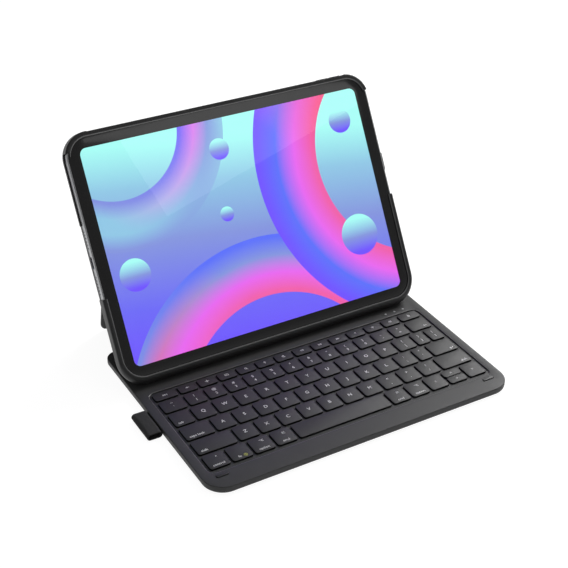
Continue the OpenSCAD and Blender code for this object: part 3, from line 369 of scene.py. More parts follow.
def finish_mesh(bm, name, material):
    """Makes an object of bm, smooth but for its creases."""
    bmesh.ops.recalc_face_normals(bm, faces=bm.faces)
    for face in bm.faces:
        face.smooth = True
    for edge in bm.edges:
        edge.smooth = not is_crease(edge)
    mesh = bpy.data.meshes.new(name)
    bm.to_mesh(mesh)
    bm.free()
    mesh.materials.append(material)
    obj = bpy.data.objects.new(name, mesh)
    bpy.context.scene.collection.objects.link(obj)
    return obj


def cut(obj, cutters):
    """Takes closed meshes away from obj, and marks its creases again."""
    for cutter in cutters:
        modifier = obj.modifiers.new("cut", "BOOLEAN")
        modifier.operation = "DIFFERENCE"
        modifier.solver = "EXACT"
        modifier.object = cutter
    depsgraph = bpy.context.evaluated_depsgraph_get()
    mesh = bpy.data.meshes.new_from_object(obj.evaluated_get(depsgraph))
    obj.modifiers.clear()
    old = obj.data
    obj.data = mesh
    bpy.data.meshes.remove(old)
    for cutter in cutters:
        bpy.data.objects.remove(cutter)
    bm = bmesh.new()
    bm.from_mesh(obj.data)
    for edge in bm.edges:
        edge.smooth = not is_crease(edge)
    bm.to_mesh(obj.data)
    bm.free()


def box_cutter(low, high, matrix=Matrix()):
    bm = bmesh.new()
    bmesh.ops.create_cube(bm, size=1)
    size = Vector(high) - Vector(low)
    middle = (Vector(high) + Vector(low)) / 2
    bmesh.ops.transform(bm, matrix=matrix @ Matrix.Translation(middle) @ Matrix.Diagonal(size.to_4d()),
                        verts=bm.verts)
    return finish_mesh(bm, "cutter", material("cutter", plain_material))


def prism_cutter(outline, z0, z1):
    bm = bmesh.new()
    skin(bm, [at_z(outline, z0), at_z(outline, z1)])
    return finish_mesh(bm, "cutter", material("cutter", plain_material))


def seat(obj, body, slot, *nodes):
    """Makes obj ride on a body, and hides the CAD nodes that it stands for. The slot is not used."""
    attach(obj, body)
    if nodes:
        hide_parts(*nodes)


# ---------------------------------------------------------------- materials

def material(name, maker):
    """The material of that name, made once."""
    found = bpy.data.materials.get(name)
    if found:
        return found
    mat = bpy.data.materials.new(name)
    mat.use_nodes = True
    mat.node_tree.nodes.clear()
    maker(mat.node_tree)
    return mat


def shader(tree):
    """A Principled shader joined to an output."""
    out = tree.nodes.new("ShaderNodeOutputMaterial")
    bsdf = tree.nodes.new("ShaderNodeBsdfPrincipled")
    tree.links.new(bsdf.outputs["BSDF"], out.inputs["Surface"])
    return bsdf


def plain_material(tree):
    shader(tree)


def object_noise(tree, scale, detail=2.0, stretch=(1, 1, 1)):
    """Noise over Object coordinates, which are the row frame's metres."""
    coords = tree.nodes.new("ShaderNodeTexCoord")
    mapping = tree.nodes.new("ShaderNodeMapping")
    mapping.inputs["Scale"].default_value = stretch
    noise = tree.nodes.new("ShaderNodeTexNoise")
    noise.inputs["Scale"].default_value = scale
    noise.inputs["Detail"].default_value = detail
    tree.links.new(coords.outputs["Object"], mapping.inputs["Vector"])
    tree.links.new(mapping.outputs["Vector"], noise.inputs["Vector"])
    return noise.outputs["Fac"]


def ramp(tree, factor, stops):
    """A colour ramp; stops are (place, colour)."""
    node = tree.nodes.new("ShaderNodeValToRGB")
    elements = node.color_ramp.elements
    while len(elements) < len(stops):
        elements.new(0.5)
    for element, (place, colour) in zip(elements, stops):
        element.position = place
        element.color = (*colour, 1)
    tree.links.new(factor, node.inputs["Fac"])
    return node.outputs["Color"]


def grainy(tree, colour, spread, roughness, grain_scale, bump, specular=0.5):
    """Moulded plastic or rubber: a faint mottle in colour and gloss, and a fine grain."""
    bsdf = shader(tree)
    mottle = object_noise(tree, 60, 4)
    dark = tuple(c * (1 - spread) for c in colour)
    light = tuple(c * (1 + spread) for c in colour)
    tree.links.new(ramp(tree, mottle, [(0.3, dark), (0.7, light)]), bsdf.inputs["Base Color"])
    rough = ramp(tree, mottle, [(0.3, (roughness - 0.03,) * 3), (0.7, (roughness + 0.03,) * 3)])
    tree.links.new(rough, bsdf.inputs["Roughness"])
    bsdf.inputs["Specular IOR Level"].default_value = specular
    grain = tree.nodes.new("ShaderNodeBump")
    grain.inputs["Strength"].default_value = bump
    grain.inputs["Distance"].default_value = 0.02 * MM
    tree.links.new(object_noise(tree, grain_scale, 2), grain.inputs["Height"])
    tree.links.new(grain.outputs["Normal"], bsdf.inputs["Normal"])
    return bsdf


def finishes():
    return bpy.context.scene.finish_settings


def deck_plastic(tree):
    grainy(tree, finishes().deck, 0.06, 0.5, 5000, 0.25, 0.29)


def cover_plastic(tree):
    grainy(tree, finishes().cover, 0.06, 0.5, 4000, 0.3, 0.4)


def key_plastic(tree):
    grainy(tree, finishes().key, 0.05, 0.5, 6000, 0.2, 0.41)


def rim_painted_highlight(tree):
    """The rounded rim around the tray: glossier than the deck, with a lighter colour that is a painted
    highlight.
    """
    grainy(tree, (0.11, 0.11, 0.111), 0.05, 0.34, 4000, 0.1, 0.5)


def key_side_painted_shade(tree):
    """Painted shade on a cap's side: near black, much darker than the cap's top."""
    grainy(tree, (0.003, 0.003, 0.003), 0.05, 0.6, 6000, 0.1, 0.1)


def soft_rubber(tree):
    grainy(tree, finishes().rubber, 0.08, 0.45, 3500, 0.25, 0.4)


def lip_painted_highlight(tree):
    """The slope along the lip's inner edge: glossier than the rubber, with a lighter colour that is a painted
    highlight.
    """
    grainy(tree, (0.12, 0.12, 0.121), 0.06, 0.25, 2500, 0.1, 1.0)


def legend_ink(tree):
    grainy(tree, finishes().ink, 0.04, 0.6, 3000, 0.1, 0.2)


def fn_ink(tree):
    """Yellowish green ink of the mark beside the function key's word."""
    grainy(tree, finishes().mark, 0.04, 0.6, 3000, 0.1, 0.2)


def elastic(tree):
    """Woven elastic: fine ribs along its length, crossed by its threads."""
    bsdf = shader(tree)
    coords = tree.nodes.new("ShaderNodeTexCoord")
    waves = []
    for direction, scale in (("X", 900), ("Y", 700)):
        wave = tree.nodes.new("ShaderNodeTexWave")
        wave.bands_direction = direction
        wave.inputs["Scale"].default_value = scale
        tree.links.new(coords.outputs["Object"], wave.inputs["Vector"])
        waves.append(wave.outputs["Fac"])
    mix = tree.nodes.new("ShaderNodeMath")
    mix.operation = "MULTIPLY"
    tree.links.new(waves[0], mix.inputs[0])
    tree.links.new(waves[1], mix.inputs[1])
    tree.links.new(ramp(tree, mix.outputs[0], [(0, (0.04,) * 3), (1, (0.085,) * 3)]),
                   bsdf.inputs["Base Color"])
    bsdf.inputs["Roughness"].default_value = 0.85
    bsdf.inputs["Specular IOR Level"].default_value = 0.15
    bump = tree.nodes.new("ShaderNodeBump")
    bump.inputs["Strength"].default_value = 0.3
    bump.inputs["Distance"].default_value = 0.05 * MM
    tree.links.new(mix.outputs[0], bump.inputs["Height"])
    tree.links.new(bump.outputs["Normal"], bsdf.inputs["Normal"])


def metal(tree, colour, roughness, stretch):
    """Brushed or blasted metal; stretch draws the brushing out along one direction."""
    bsdf = shader(tree)
    streaks = object_noise(tree, 900, 3, stretch)
    bsdf.inputs["Metallic"].default_value = 1
    dark = tuple(c * 0.88 for c in colour)
    tree.links.new(ramp(tree, streaks, [(0.3, dark), (0.7, colour)]), bsdf.inputs["Base Color"])
    rough = ramp(tree, streaks, [(0.3, (roughness - 0.05,) * 3), (0.7, (roughness + 0.08,) * 3)])
    tree.links.new(rough, bsdf.inputs["Roughness"])


def brushed_steel(tree):
    metal(tree, (0.5, 0.5, 0.51), 0.34, (0.1, 1, 1))


def blasted_aluminium(tree):
    metal(tree, (0.42, 0.425, 0.435), 0.42, (1, 1, 1))


def ring_metal(tree):
    metal(tree, (0.12, 0.12, 0.13), 0.32, (1, 1, 1))


def black_glass(tree):
    bsdf = grainy(tree, (0.008, 0.008, 0.0085), 0.05, 0.14, 800, 0.0)
    bsdf.inputs["Coat Weight"].default_value = 0.4
    bsdf.inputs["Coat Roughness"].default_value = 0.05


def clear_glass(tree):
    bsdf = shader(tree)
    bsdf.inputs["Transmission Weight"].default_value = 1
    bsdf.inputs["Roughness"].default_value = 0.0
    bsdf.inputs["IOR"].default_value = 1.45
    tint = ramp(tree, object_noise(tree, 20), [(0.3, (0.97, 0.98, 0.985)), (0.7, (1, 1, 1))])
    tree.links.new(tint, bsdf.inputs["Base Color"])


def inner_plastic(colour):
    """A maker for a plain piece inside."""
    def maker(tree):
        grainy(tree, colour, 0.1, 0.4, 2500, 0.2)
    return maker


# The finish of each piece that keeps its construction shape
CAD_FINISH = {
    "key_plate": ("brushed steel", brushed_steel),
    "key_membrane": ("membrane film", inner_plastic((0.62, 0.58, 0.42))),
    "key_domes": ("dome silicone", inner_plastic((0.55, 0.55, 0.55))),
    "key_ribbon": ("ribbon film", inner_plastic((0.42, 0.25, 0.06))),
    "battery_cells": ("cell wrap", inner_plastic((0.2, 0.22, 0.25))),
    "circuit_board": ("circuit board", inner_plastic((0.02, 0.12, 0.05))),
    "usb_c_port": ("brushed steel", brushed_steel),
    "switch_housing": ("brushed steel", brushed_steel),
    "power_switch": ("soft rubber", soft_rubber),
    "indicator_lights": ("light pipe", inner_plastic((0.40, 0.41, 0.42))),
    "typing_magnets": ("magnet plating", brushed_steel),
    "closing_magnets": ("magnet plating", brushed_steel),
    "base_screws": ("brushed steel", brushed_steel),
    "pen_loop_anchor": ("brushed steel", brushed_steel),
    "docking_rail": ("soft rubber", soft_rubber),
    "rail_magnets": ("magnet plating", brushed_steel),
    "back_panel": ("cover plastic", cover_plastic),
    "inner_lining": ("lining suede", inner_plastic((0.03, 0.03, 0.032))),
    "camera_ring": ("ring metal", ring_metal),
    "shell_magnets": ("magnet plating", brushed_steel),
    "catch_magnets": ("magnet plating", brushed_steel),
    "hinge_leaves": ("ring metal", ring_metal),
    "hinge_pins": ("brushed steel", brushed_steel),
    "volume_up_cover": ("soft rubber", soft_rubber),
    "volume_down_cover": ("soft rubber", soft_rubber),
    "power_button_cover": ("soft rubber", soft_rubber),
    "tablet_housing": ("blasted aluminium", blasted_aluminium),
    "tablet_camera": ("black glass", black_glass),
    "kickstand_plate": ("cover plastic", cover_plastic),
    "kickstand_foot": ("soft rubber", soft_rubber),
    "kickstand_magnets": ("magnet plating", brushed_steel),
}


# ---------------------------------------------------------------- the keyboard base

def base_plan():
    """The base's box, and the tray's box in plan, from the frame."""
    low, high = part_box("base_top_cover")
    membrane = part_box("key_membrane")
    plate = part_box("key_plate")
    tray = (membrane[0][0], membrane[1][0], plate[0][1], plate[1][1])
    return (low[0], high[0], low[1], high[1]), tray, high[2]


def grown(plan, g):
    return plan[0] - g, plan[1] + g, plan[2] - g, plan[3] + g


def base_outline(plan, inset, s):
    return round_box(*grown(plan, -inset), s.front_radius - inset, s.rear_radius - inset, s.steps)


def tray_outline(tray, g, s):
    return round_box(*grown(tray, g), s.tray_radius + g, s.tray_radius + g, s.steps)


def key_rects():
    """Each key's plan (x0, x1, y0, y1); the up and down keys share one hole."""
    rects = []
    for node in KEY_NODES:
        if node in ("up_arrow_key", "down_arrow_key"):
            continue
        rects += [(low.x, high.x, low.y, high.y) for low, high in islands(node)]
    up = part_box("up_arrow_key")
    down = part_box("down_arrow_key")
    return rects + [(down[0][0], down[1][0], down[0][1], up[1][1])]


def build_top_cover(s, k):
    """The deck with its sunk tray, a hole for each key, and pockets for the bumpers and the lights."""
    plan, tray, deck = base_plan()
    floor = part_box("space_key")[1][2] - k.rise
    under = floor - s.tray_floor
    web = deck - s.deck_wall
    tray_wall = 1 * MM
    port_reach, port_gap = 3 * MM, 0.15 * MM
    bumper_pocket_r, light_hole_r = 1.2 * MM, 0.9 * MM
    past = 1 * MM  # cutters run on this far past what they cut
    loops = [at_z(base_outline(plan, s.wall, s), web), at_z(base_outline(plan, s.wall, s), s.seam_z),
             at_z(base_outline(plan, 0, s), s.seam_z)]
    loops += [at_z(base_outline(plan, i, s), deck - s.deck_round + z) for i, z in fillet(s.deck_round, 6)]
    loops += [at_z(tray_outline(tray, i, s), deck - s.tray_round + z)
              for i, z in reversed(fillet(s.tray_round, TRAY_RIM_STEPS))]
    loops += [at_z(tray_outline(tray, 0, s), floor)]
    bm = bmesh.new()
    rows = skin(bm, loops, caps=(False, False))
    # The tray's rounded rim takes the lighter colour of the second material, a painted highlight.
    rim_highlight_verts = {v for row in rows[-TRAY_RIM_STEPS - 2:-1] for v in row}
    for face in bm.faces:
        face.material_index = int(all(v in rim_highlight_verts for v in face.verts))
    lower = skin(bm,
                 [at_z(tray_outline(tray, tray_wall, s), under), at_z(tray_outline(tray, tray_wall, s), web)],
                 caps=(False, False))
    ring(bm, lower[-1], rows[0])
    holes_top, holes_low = [], []
    for rect in key_rects():
        outline = round_box(*grown(rect, k.hole_gap), k.radius, k.radius, 4)
        low, high = [[bm.verts.new(p) for p in at_z(outline, z)] for z in (under, floor)]
        ring(bm, low, high)
        holes_low.append(low)
        holes_top.append(high)
    fill_with_holes(bm, rows[-1], holes_top, True)
    fill_with_holes(bm, lower[0], holes_low, False)
    cover = finish_mesh(bm, "upper_cover", material("deck plastic", deck_plastic))
    cover.data.materials.append(material("rim painted highlight", rim_painted_highlight))
    cuts = []
    for node in ("usb_c_port", "power_switch"):
        low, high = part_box(node)
        grow = Vector((port_reach, port_gap, port_gap))
        slide = JOINTS["power_switch_slide"]["range_m"][1] if node == "power_switch" else 0
        cuts.append(box_cutter(Vector(low) - grow, Vector(high) + grow + Vector((0, slide, 0))))
    for low, high in islands("front_bumpers"):
        outline = round_box(*grown((low.x, high.x, low.y, high.y), s.bumper_gap), bumper_pocket_r,
                            bumper_pocket_r, 6)
        cuts.append(prism_cutter(outline, low.z, deck + past))
    for low, high in islands("indicator_lights"):
        outline = circle((low.x + high.x) / 2, (low.y + high.y) / 2, light_hole_r)
        cuts.append(prism_cutter(outline, web - past, deck + past))
    cut(cover, cuts)
    seat(cover, "base", "base_plastic", "base_top_cover")


def build_bottom_cover(s):
    """The tub under the deck, with a stepped hole and a boss for each screw."""
    plan = base_plan()[0]
    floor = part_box("key_plate")[0][2]
    r = s.under_round
    loops = [at_z(base_outline(plan, s.wall, s), floor), at_z(base_outline(plan, s.wall, s), s.seam_z),
             at_z(base_outline(plan, 0, s), s.seam_z)]
    loops += [at_z(base_outline(plan, i, s), r - z) for i, z in fillet(r, 5)]
    bm = bmesh.new()
    rows = skin(bm, loops, caps=(False, False))
    inner, outer = [], []
    head_r, thread_r, boss_r = 1.75 * MM, 0.85 * MM, 2.3 * MM
    seat_z, boss_top = 0.9 * MM, floor + 0.8 * MM
    stepped = ((head_r, 0), (head_r, seat_z), (thread_r, seat_z), (thread_r, boss_top), (boss_r, boss_top),
               (boss_r, floor))
    for low, high in islands("base_screws"):
        x, y = (low.x + high.x) / 2, (low.y + high.y) / 2
        hole_rows = skin(bm, [at_z(circle(x, y, radius), z) for radius, z in stepped], caps=(False, False))
        outer.append(hole_rows[0])
        inner.append(hole_rows[-1])
    fill_with_holes(bm, rows[0], inner, True)
    fill_with_holes(bm, rows[-1], outer, False)
    cover = finish_mesh(bm, "lower_cover", material("cover plastic", cover_plastic))
    seat(cover, "base", "cover_plastic", "base_bottom_cover")


def build_bumpers():
    corner_r, top_round = 1 * MM, 0.4 * MM
    bm = bmesh.new()
    for low, high in islands("front_bumpers"):
        plan = (low.x, high.x, low.y, high.y)
        loops = [at_z(round_box(*plan, corner_r, corner_r, 6), low.z)]
        for i, z in fillet(top_round, 5):
            outline = round_box(*grown(plan, -i), corner_r - i, corner_r - i, 6)
            loops.append(at_z(outline, high.z - top_round + z))
        skin(bm, loops)
    bumpers = finish_mesh(bm, "soft_bumpers", material("soft rubber", soft_rubber))
    seat(bumpers, "base", "soft_rubber", "front_bumpers")


def build_pen_loop():
    """A flattened elastic tube, crowned a little, with its tab between the covers."""
    low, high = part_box("pen_loop")
    base_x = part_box("base_top_cover")[0][0]
    mid_z = (low[2] + high[2]) / 2
    half_h = (high[2] - low[2]) / 2
    slack, base_gap = 1.2 * MM, 0.3 * MM  # inside the piece's box, and from the base's side
    x0, x1 = low[0] + slack, base_x - base_gap
    thick = 0.8 * MM
    tab_z, tab_half, tab_edge = 2.9 * MM, 0.4 * MM, 0.5 * MM
    tab_r, tab_root = 0.1 * MM, 0.2 * MM
    end_height = 0.86  # height at the loop's ends, as a share of that at its middle
    roundness = 0.97
    count = 18
    bm = bmesh.new()

    def section(y, inset, crown):
        h = half_h * crown - inset
        outline = round_box(x0 + inset, x1 - inset, -h, h, h * roundness, h * roundness, 8)
        return [Vector((x, y, mid_z + z)) for x, z in outline]

    ys = [low[1] + (high[1] - low[1]) * i / count for i in range(count + 1)]
    crowns = [end_height + (1 - end_height) * math.sin(math.pi * i / count) for i in range(count + 1)]
    outside = [section(y, 0, c) for y, c in zip(ys, crowns)]
    inside = [section(y, thick, c) for y, c in zip(ys, crowns)]
    skin(bm, outside + inside[::-1], closed=True)
    tab = round_box(x1 - tab_root, high[0], low[1] + tab_edge, high[1] - tab_edge, tab_r, tab_r, 2)
    skin(bm, [at_z(tab, tab_z - tab_half), at_z(tab, tab_z + tab_half)])
    loop = finish_mesh(bm, "elastic_pen_loop", material("woven elastic", elastic))
    seat(loop, "base", "elastic", "pen_loop")


# ---------------------------------------------------------------- keys

def build_key_node(node, k):
    """The caps of a node, with painted shade on their sides, and the ink of their legends."""
    bm = bmesh.new()
    boxes = islands(node)
    for low, high in boxes:
        plan = (low.x, high.x, low.y, high.y)
        loops = [at_z(round_box(*plan, k.radius, k.radius, 5), high.z - k.skirt)]
        for i, z in fillet(k.edge, 4):
            loops.append(at_z(round_box(*grown(plan, -i), k.radius - i, k.radius - i, 5),
                              high.z - k.edge + z))
        skin(bm, loops)
    for face in bm.faces:
        face.normal_update()
        # Steep faces, the caps' sides, take the near-black painted shade.
        face.material_index = int(abs(face.normal.z) < 0.5)
    keys = finish_mesh(bm, node + "_caps", material("key plastic", key_plastic))
    keys.data.materials.append(material("key side painted shade", key_side_painted_shade))
    seat(keys, node + "_body", "key_plastic", node)
    bm = bmesh.new()
    lit = bmesh.new()
    for legend, (low, high) in zip(LEGENDS[node], boxes):
        for text, x, y, size, align in legend_places(legend, low, high, k):
            print_sign(lit if text == "<globe>" else bm, text, x, y, high.z, size, align, k)
    for ink, name, maker in ((bm, "legend ink", legend_ink), (lit, "fn ink", fn_ink)):
        if ink.verts:
            legends = finish_mesh(ink, node + "_" + name.replace(" ", "_"), material(name, maker))
            seat(legends, node + "_body", None)
        else:
            ink.free()


def legend_places(legend, low, high, k):
    """(text, x, y, size, alignment) of each sign of a key's legend."""
    x, y = (low.x + high.x) / 2, (low.y + high.y) / 2
    depth = high.y - low.y
    if isinstance(legend, tuple):
        upper, lower = legend
        if upper == "<globe>":
            return [(upper, x + k.margin, low.y + k.margin, k.icon, "CENTER"),
                    (lower, x - k.margin / 2, low.y + k.margin, k.word, "CENTER")]
        if len(lower) > 1:
            return [(upper, x + k.margin * 0.6, y + depth * 0.2, k.icon, "CENTER"),
                    (lower, x, low.y + k.margin, k.word, "CENTER")]
        return [(upper, x, y + depth * SIGN_SHIFT, k.sign, "CENTER"),
                (lower, x, y - depth * SIGN_SHIFT, k.sign, "CENTER")]
    if ":" in legend and len(legend) > 1:
        side, word = legend.split(":")
        if side == "left":
            return [(word, low.x + k.margin, low.y + k.margin, k.word, "LEFT")]
        return [(word, high.x - k.margin, low.y + k.margin, k.word, "RIGHT")]
    if len(legend) == 1:
        return [(legend, x, y, k.letter, "CENTER")]
    return [(legend, x, y, k.icon if legend.startswith("<") else k.word, "CENTER")]


def print_sign(bm, text, x, y, top, size, align, k):
    """Adds a word or a small drawing to bm, as ink that stands just proud of the key."""
    if not text:
        return
    if text[1:-1] in ICONS:
        half = size / 2
        x += {"LEFT": half, "CENTER": 0, "RIGHT": -half}[align]
        for line in ICONS[text[1:-1]]:
            for start, end in zip(line, line[1:]):
                draw_line(bm, Vector((x + start[0] * half, y + start[1] * half)),
                          Vector((x + end[0] * half, y + end[1] * half)), top, k)
        return
    curve = bpy.data.curves.new("sign", "FONT")
    curve.body = text
    curve.size = size
    curve.align_x = align
    curve.align_y = "CENTER"
    curve.resolution_u = 3
    curve.offset = k.bolder
    curve.extrude = k.ink / 2
    obj = bpy.data.objects.new("sign", curve)
    bpy.context.scene.collection.objects.link(obj)
    bpy.context.view_layer.update()
    mesh = bpy.data.meshes.new_from_object(obj)
    bpy.data.objects.remove(obj)
    mesh.transform(Matrix.Translation((x, y, top + k.ink / 2)))
    bm.from_mesh(mesh)
    bpy.data.meshes.remove(mesh)


def draw_line(bm, start, end, top, k):
    """A thin bar of ink between two points."""
    along = (end - start).normalized() * k.stroke / 2
    across = Vector((-along.y, along.x))
    corners = [start - along - across, end + along - across, end + along + across, start - along + across]
    skin(bm, [at_z(corners, top), at_z(corners, top + k.ink)])


# ---------------------------------------------------------------- the shell and the tablet

def shell_matrix():
    """Places the shell's own frame: X along the tilt axis, Y up the tablet, Z to the viewer."""
    joint = JOINTS["shell_tilt"]
    lean = math.radians(180 - joint["range_deg"][1])
    return Matrix.Translation(joint["pos_m"]) @ Matrix.Rotation(lean, 4, "X")


def tablet_outline(box, g, s, steps):
    low, high = box
    r = s.tablet_radius + g
    return round_box(low.x - g, high.x + g, low.y - g, high.y + g, r, r, steps)


def shell_section(box, thickness, z, s, steps):
    """The soft frame's outer outline at a height from its middle; its lower end is a full half round."""
    half = thickness / 2
    side = max(edge_inset(z + half, s.rear_round), edge_inset(half - z, s.front_round))
    low_inset = half - math.sqrt(max(half * half - z * z, 0))
    low, high = box
    r = s.tablet_radius + s.side_wall - side
    return round_box(low.x + side, high.x - side, low.y + low_inset, high.y - side, r, r, steps)


def edge_inset(height, r):
    return 0 if height >= r else r - math.sqrt(max(r * r - (r - height) ** 2, 0))


def build_shell_frame(s):
    """The soft frame: a swept ring around the tablet, with a painted highlight on the glossier slope along
    its lip.
    """
    m = shell_matrix()
    steps = 16
    frame_box = local_box("shell_frame", m)
    tablet = local_box("tablet_housing", m)
    glass_z = local_box("tablet_glass", m)[1].z
    tablet_z = tablet[0].z
    thickness = frame_box[1].z - frame_box[0].z
    half = thickness / 2
    loops = [at_z(tablet_outline(tablet, -s.lip, s, steps), glass_z),
             at_z(tablet_outline(tablet, -s.lip, s, steps), half - s.lip_slope_h),
             at_z(tablet_outline(tablet, -s.lip + s.lip_slope_w, s, steps), half)]
    for i in range(SHELL_RIM_STEPS + 1):
        z = half * math.sin(math.radians(90 - 180 * i / SHELL_RIM_STEPS))
        loops.append(at_z(shell_section(frame_box, thickness, z, s, steps), z))
    gap = 0.1 * MM  # between the tablet and the frame
    for g, z in ((-s.rear_return, -half), (-s.rear_return, tablet_z), (gap, tablet_z), (gap, glass_z)):
        loops.append(at_z(tablet_outline(tablet, g, s, steps), z))
    bm = bmesh.new()
    rows = skin(bm, loops, closed=True)
    # The lip's sloped band takes the lighter colour of the second material, a painted highlight.
    slope = set(rows[1]) | set(rows[2])
    for face in bm.faces:
        face.material_index = int(all(v in slope for v in face.verts))
    bmesh.ops.transform(bm, matrix=m, verts=bm.verts)
    obj = finish_mesh(bm, "soft_frame", material("soft rubber", soft_rubber))
    obj.data.materials.append(material("lip painted highlight", lip_painted_highlight))
    cut(obj, shell_cuts(m, frame_box, tablet, half, tablet_z))
    seat(obj, "shell", "soft_rubber", "shell_frame")


def shell_cuts(m, frame_box, tablet, half, tablet_z):
    """Cutters for the openings in the soft frame."""
    low_y, top = frame_box[0].y, frame_box[1].y
    out = 2 * MM  # cutters stand out of the frame this far
    edge = tablet[1].x + 0.1 * MM
    inner = tablet[1].x - 2.9 * MM
    side = edge + 5 * MM
    left_step_z, right_step_z = -1.2 * MM, tablet_z + 1 * MM
    cuts = [
        ((-side, low_y + LEFT_GAP[0], -half - out), (-edge, low_y + LEFT_GAP[1], half + out)),
        ((-side, low_y + LEFT_GAP[0], left_step_z), (-inner, low_y + LEFT_STEP_TOP, half + out)),
        ((edge, low_y + RIGHT_GAP[0], -half - out), (side, low_y + RIGHT_GAP[1], half + out)),
        ((inner, low_y + RIGHT_GAP[0], right_step_z), (side, low_y + RIGHT_GAP[1], half + out)),
        ((TOP_STEP[0], top - TOP_STEP_DEPTH, -half - out), (TOP_STEP[1], top + out, half + out)),
    ]
    for node in ("volume_up_cover", "volume_down_cover"):
        low, high = local_box(node, m)
        gap, depth = 0.2 * MM, 1 * MM
        cuts.append(((low.x - gap, tablet[1].y - depth, low.z - gap),
                     (high.x + gap, top + out, high.z + gap)))
    return [box_cutter(low, high, m) for low, high in cuts]


def build_glass(s):
    """The cover glass: a clear window over the display, a border black behind, and a bare metal rim."""
    m = shell_matrix()
    glass = local_box("tablet_glass", m)
    tablet = local_box("tablet_housing", m)
    display = local_box("tablet_display", m)
    steps = 12
    edge = 0.15 * MM
    window = round_box(display[0].x, display[1].x, display[0].y, display[1].y, s.display_radius,
                       s.display_radius, steps)
    bm = bmesh.new()
    loops = [at_z(window, glass[0].z), at_z(tablet_outline(tablet, -s.rim_w, s, steps), glass[0].z)]
    for i, z in fillet(edge, 3):
        loops.append(at_z(tablet_outline(tablet, -s.rim_w - i, s, steps), glass[1].z - edge + z))
    loops.append(at_z(window, glass[1].z))
    skin(bm, loops, closed=True)
    bmesh.ops.transform(bm, matrix=m, verts=bm.verts)
    border = finish_mesh(bm, "glass_border", material("black glass", black_glass))
    seat(border, "shell", "cover_glass", "tablet_glass")
    bm = bmesh.new()
    skin(bm, [at_z(window, glass[0].z), at_z(window, glass[1].z)])
    bmesh.ops.transform(bm, matrix=m, verts=bm.verts)
    clear = finish_mesh(bm, "glass_window", material("clear glass", clear_glass))
    seat(clear, "shell", "cover_glass")
    bm = bmesh.new()
    below_glass, glass_gap = 0.05 * MM, 0.03 * MM
    top = glass[1].z - below_glass
    inner = -s.rim_w + glass_gap
    loops = [at_z(tablet_outline(tablet, g, s, steps), glass[0].z) for g in (inner, 0)]
    loops += [at_z(tablet_outline(tablet, -i, s, steps), top - s.rim_round + z) for i,
              z in fillet(s.rim_round, 6)]
    loops += [at_z(tablet_outline(tablet, inner, s, steps), top)]
    skin(bm, loops, closed=True)
    bmesh.ops.transform(bm, matrix=m, verts=bm.verts)
    rim = finish_mesh(bm, "metal_rim", material("blasted aluminium", blasted_aluminium))
    seat(rim, "shell", "tablet_aluminium")


def build_display(s):
    """The lit panel, with its picture laid out over its own UV map."""
    m = shell_matrix()
    low, high = local_box("tablet_display", m)
    bm = bmesh.new()
    outline = round_box(low.x, high.x, low.y, high.y, s.display_radius, s.display_radius, 12)
    skin(bm, [at_z(outline, low.z), at_z(outline, high.z)])
    uv = bm.loops.layers.uv.new("picture")
    for face in bm.faces:
        for corner in face.loops:
            corner[uv].uv = ((corner.vert.co.x - low.x) / (high.y - low.y),
                             (corner.vert.co.y - low.y) / (high.y - low.y))
    bmesh.ops.transform(bm, matrix=m, verts=bm.verts)
    panel = finish_mesh(bm, "lit_panel", material("display picture", display_picture))
    seat(panel, "shell", "display_panel", "tablet_display")


CYAN, SKY, PERI = (0.38, 1.0, 0.92), (0.26, 0.56, 0.78), (0.21, 0.28, 0.72)
BLUE, INDIGO, ORCHID = (0.08, 0.14, 0.95), (0.14, 0.06, 1.0), (0.80, 0.11, 0.86)
PINK, CRIMSON, RED = (0.87, 0.09, 0.38), (0.80, 0.035, 0.12), (1.0, 0.015, 0.03)
# Bands of the wallpaper, from the rearmost: centre, middle radius, half width, colours from the inner side to
# the outer side at the band's lower left, and the same at its upper right. The unit is the display's height.
BANDS = [
    ((0.16, 1.06), 0.44, 0.115, (PERI, SKY, SKY, PERI), (INDIGO, ORCHID, PERI, SKY)),
    ((0.72, -0.40), 0.68, 0.14, (ORCHID, ORCHID, PINK, PERI), (PINK, ORCHID, PERI, BLUE)),
    ((1.66, 0.66), 0.68, 0.165, (PINK, ORCHID, BLUE, INDIGO), (RED, CRIMSON, PINK, ORCHID)),
]
# Balls of the wallpaper: centre and radius
BALLS = [((0.11, 0.40), 0.075), ((0.66, 0.86), 0.05), ((0.62, 0.56), 0.035), ((1.32, 0.86), 0.06),
         ((1.28, 0.30), 0.10)]


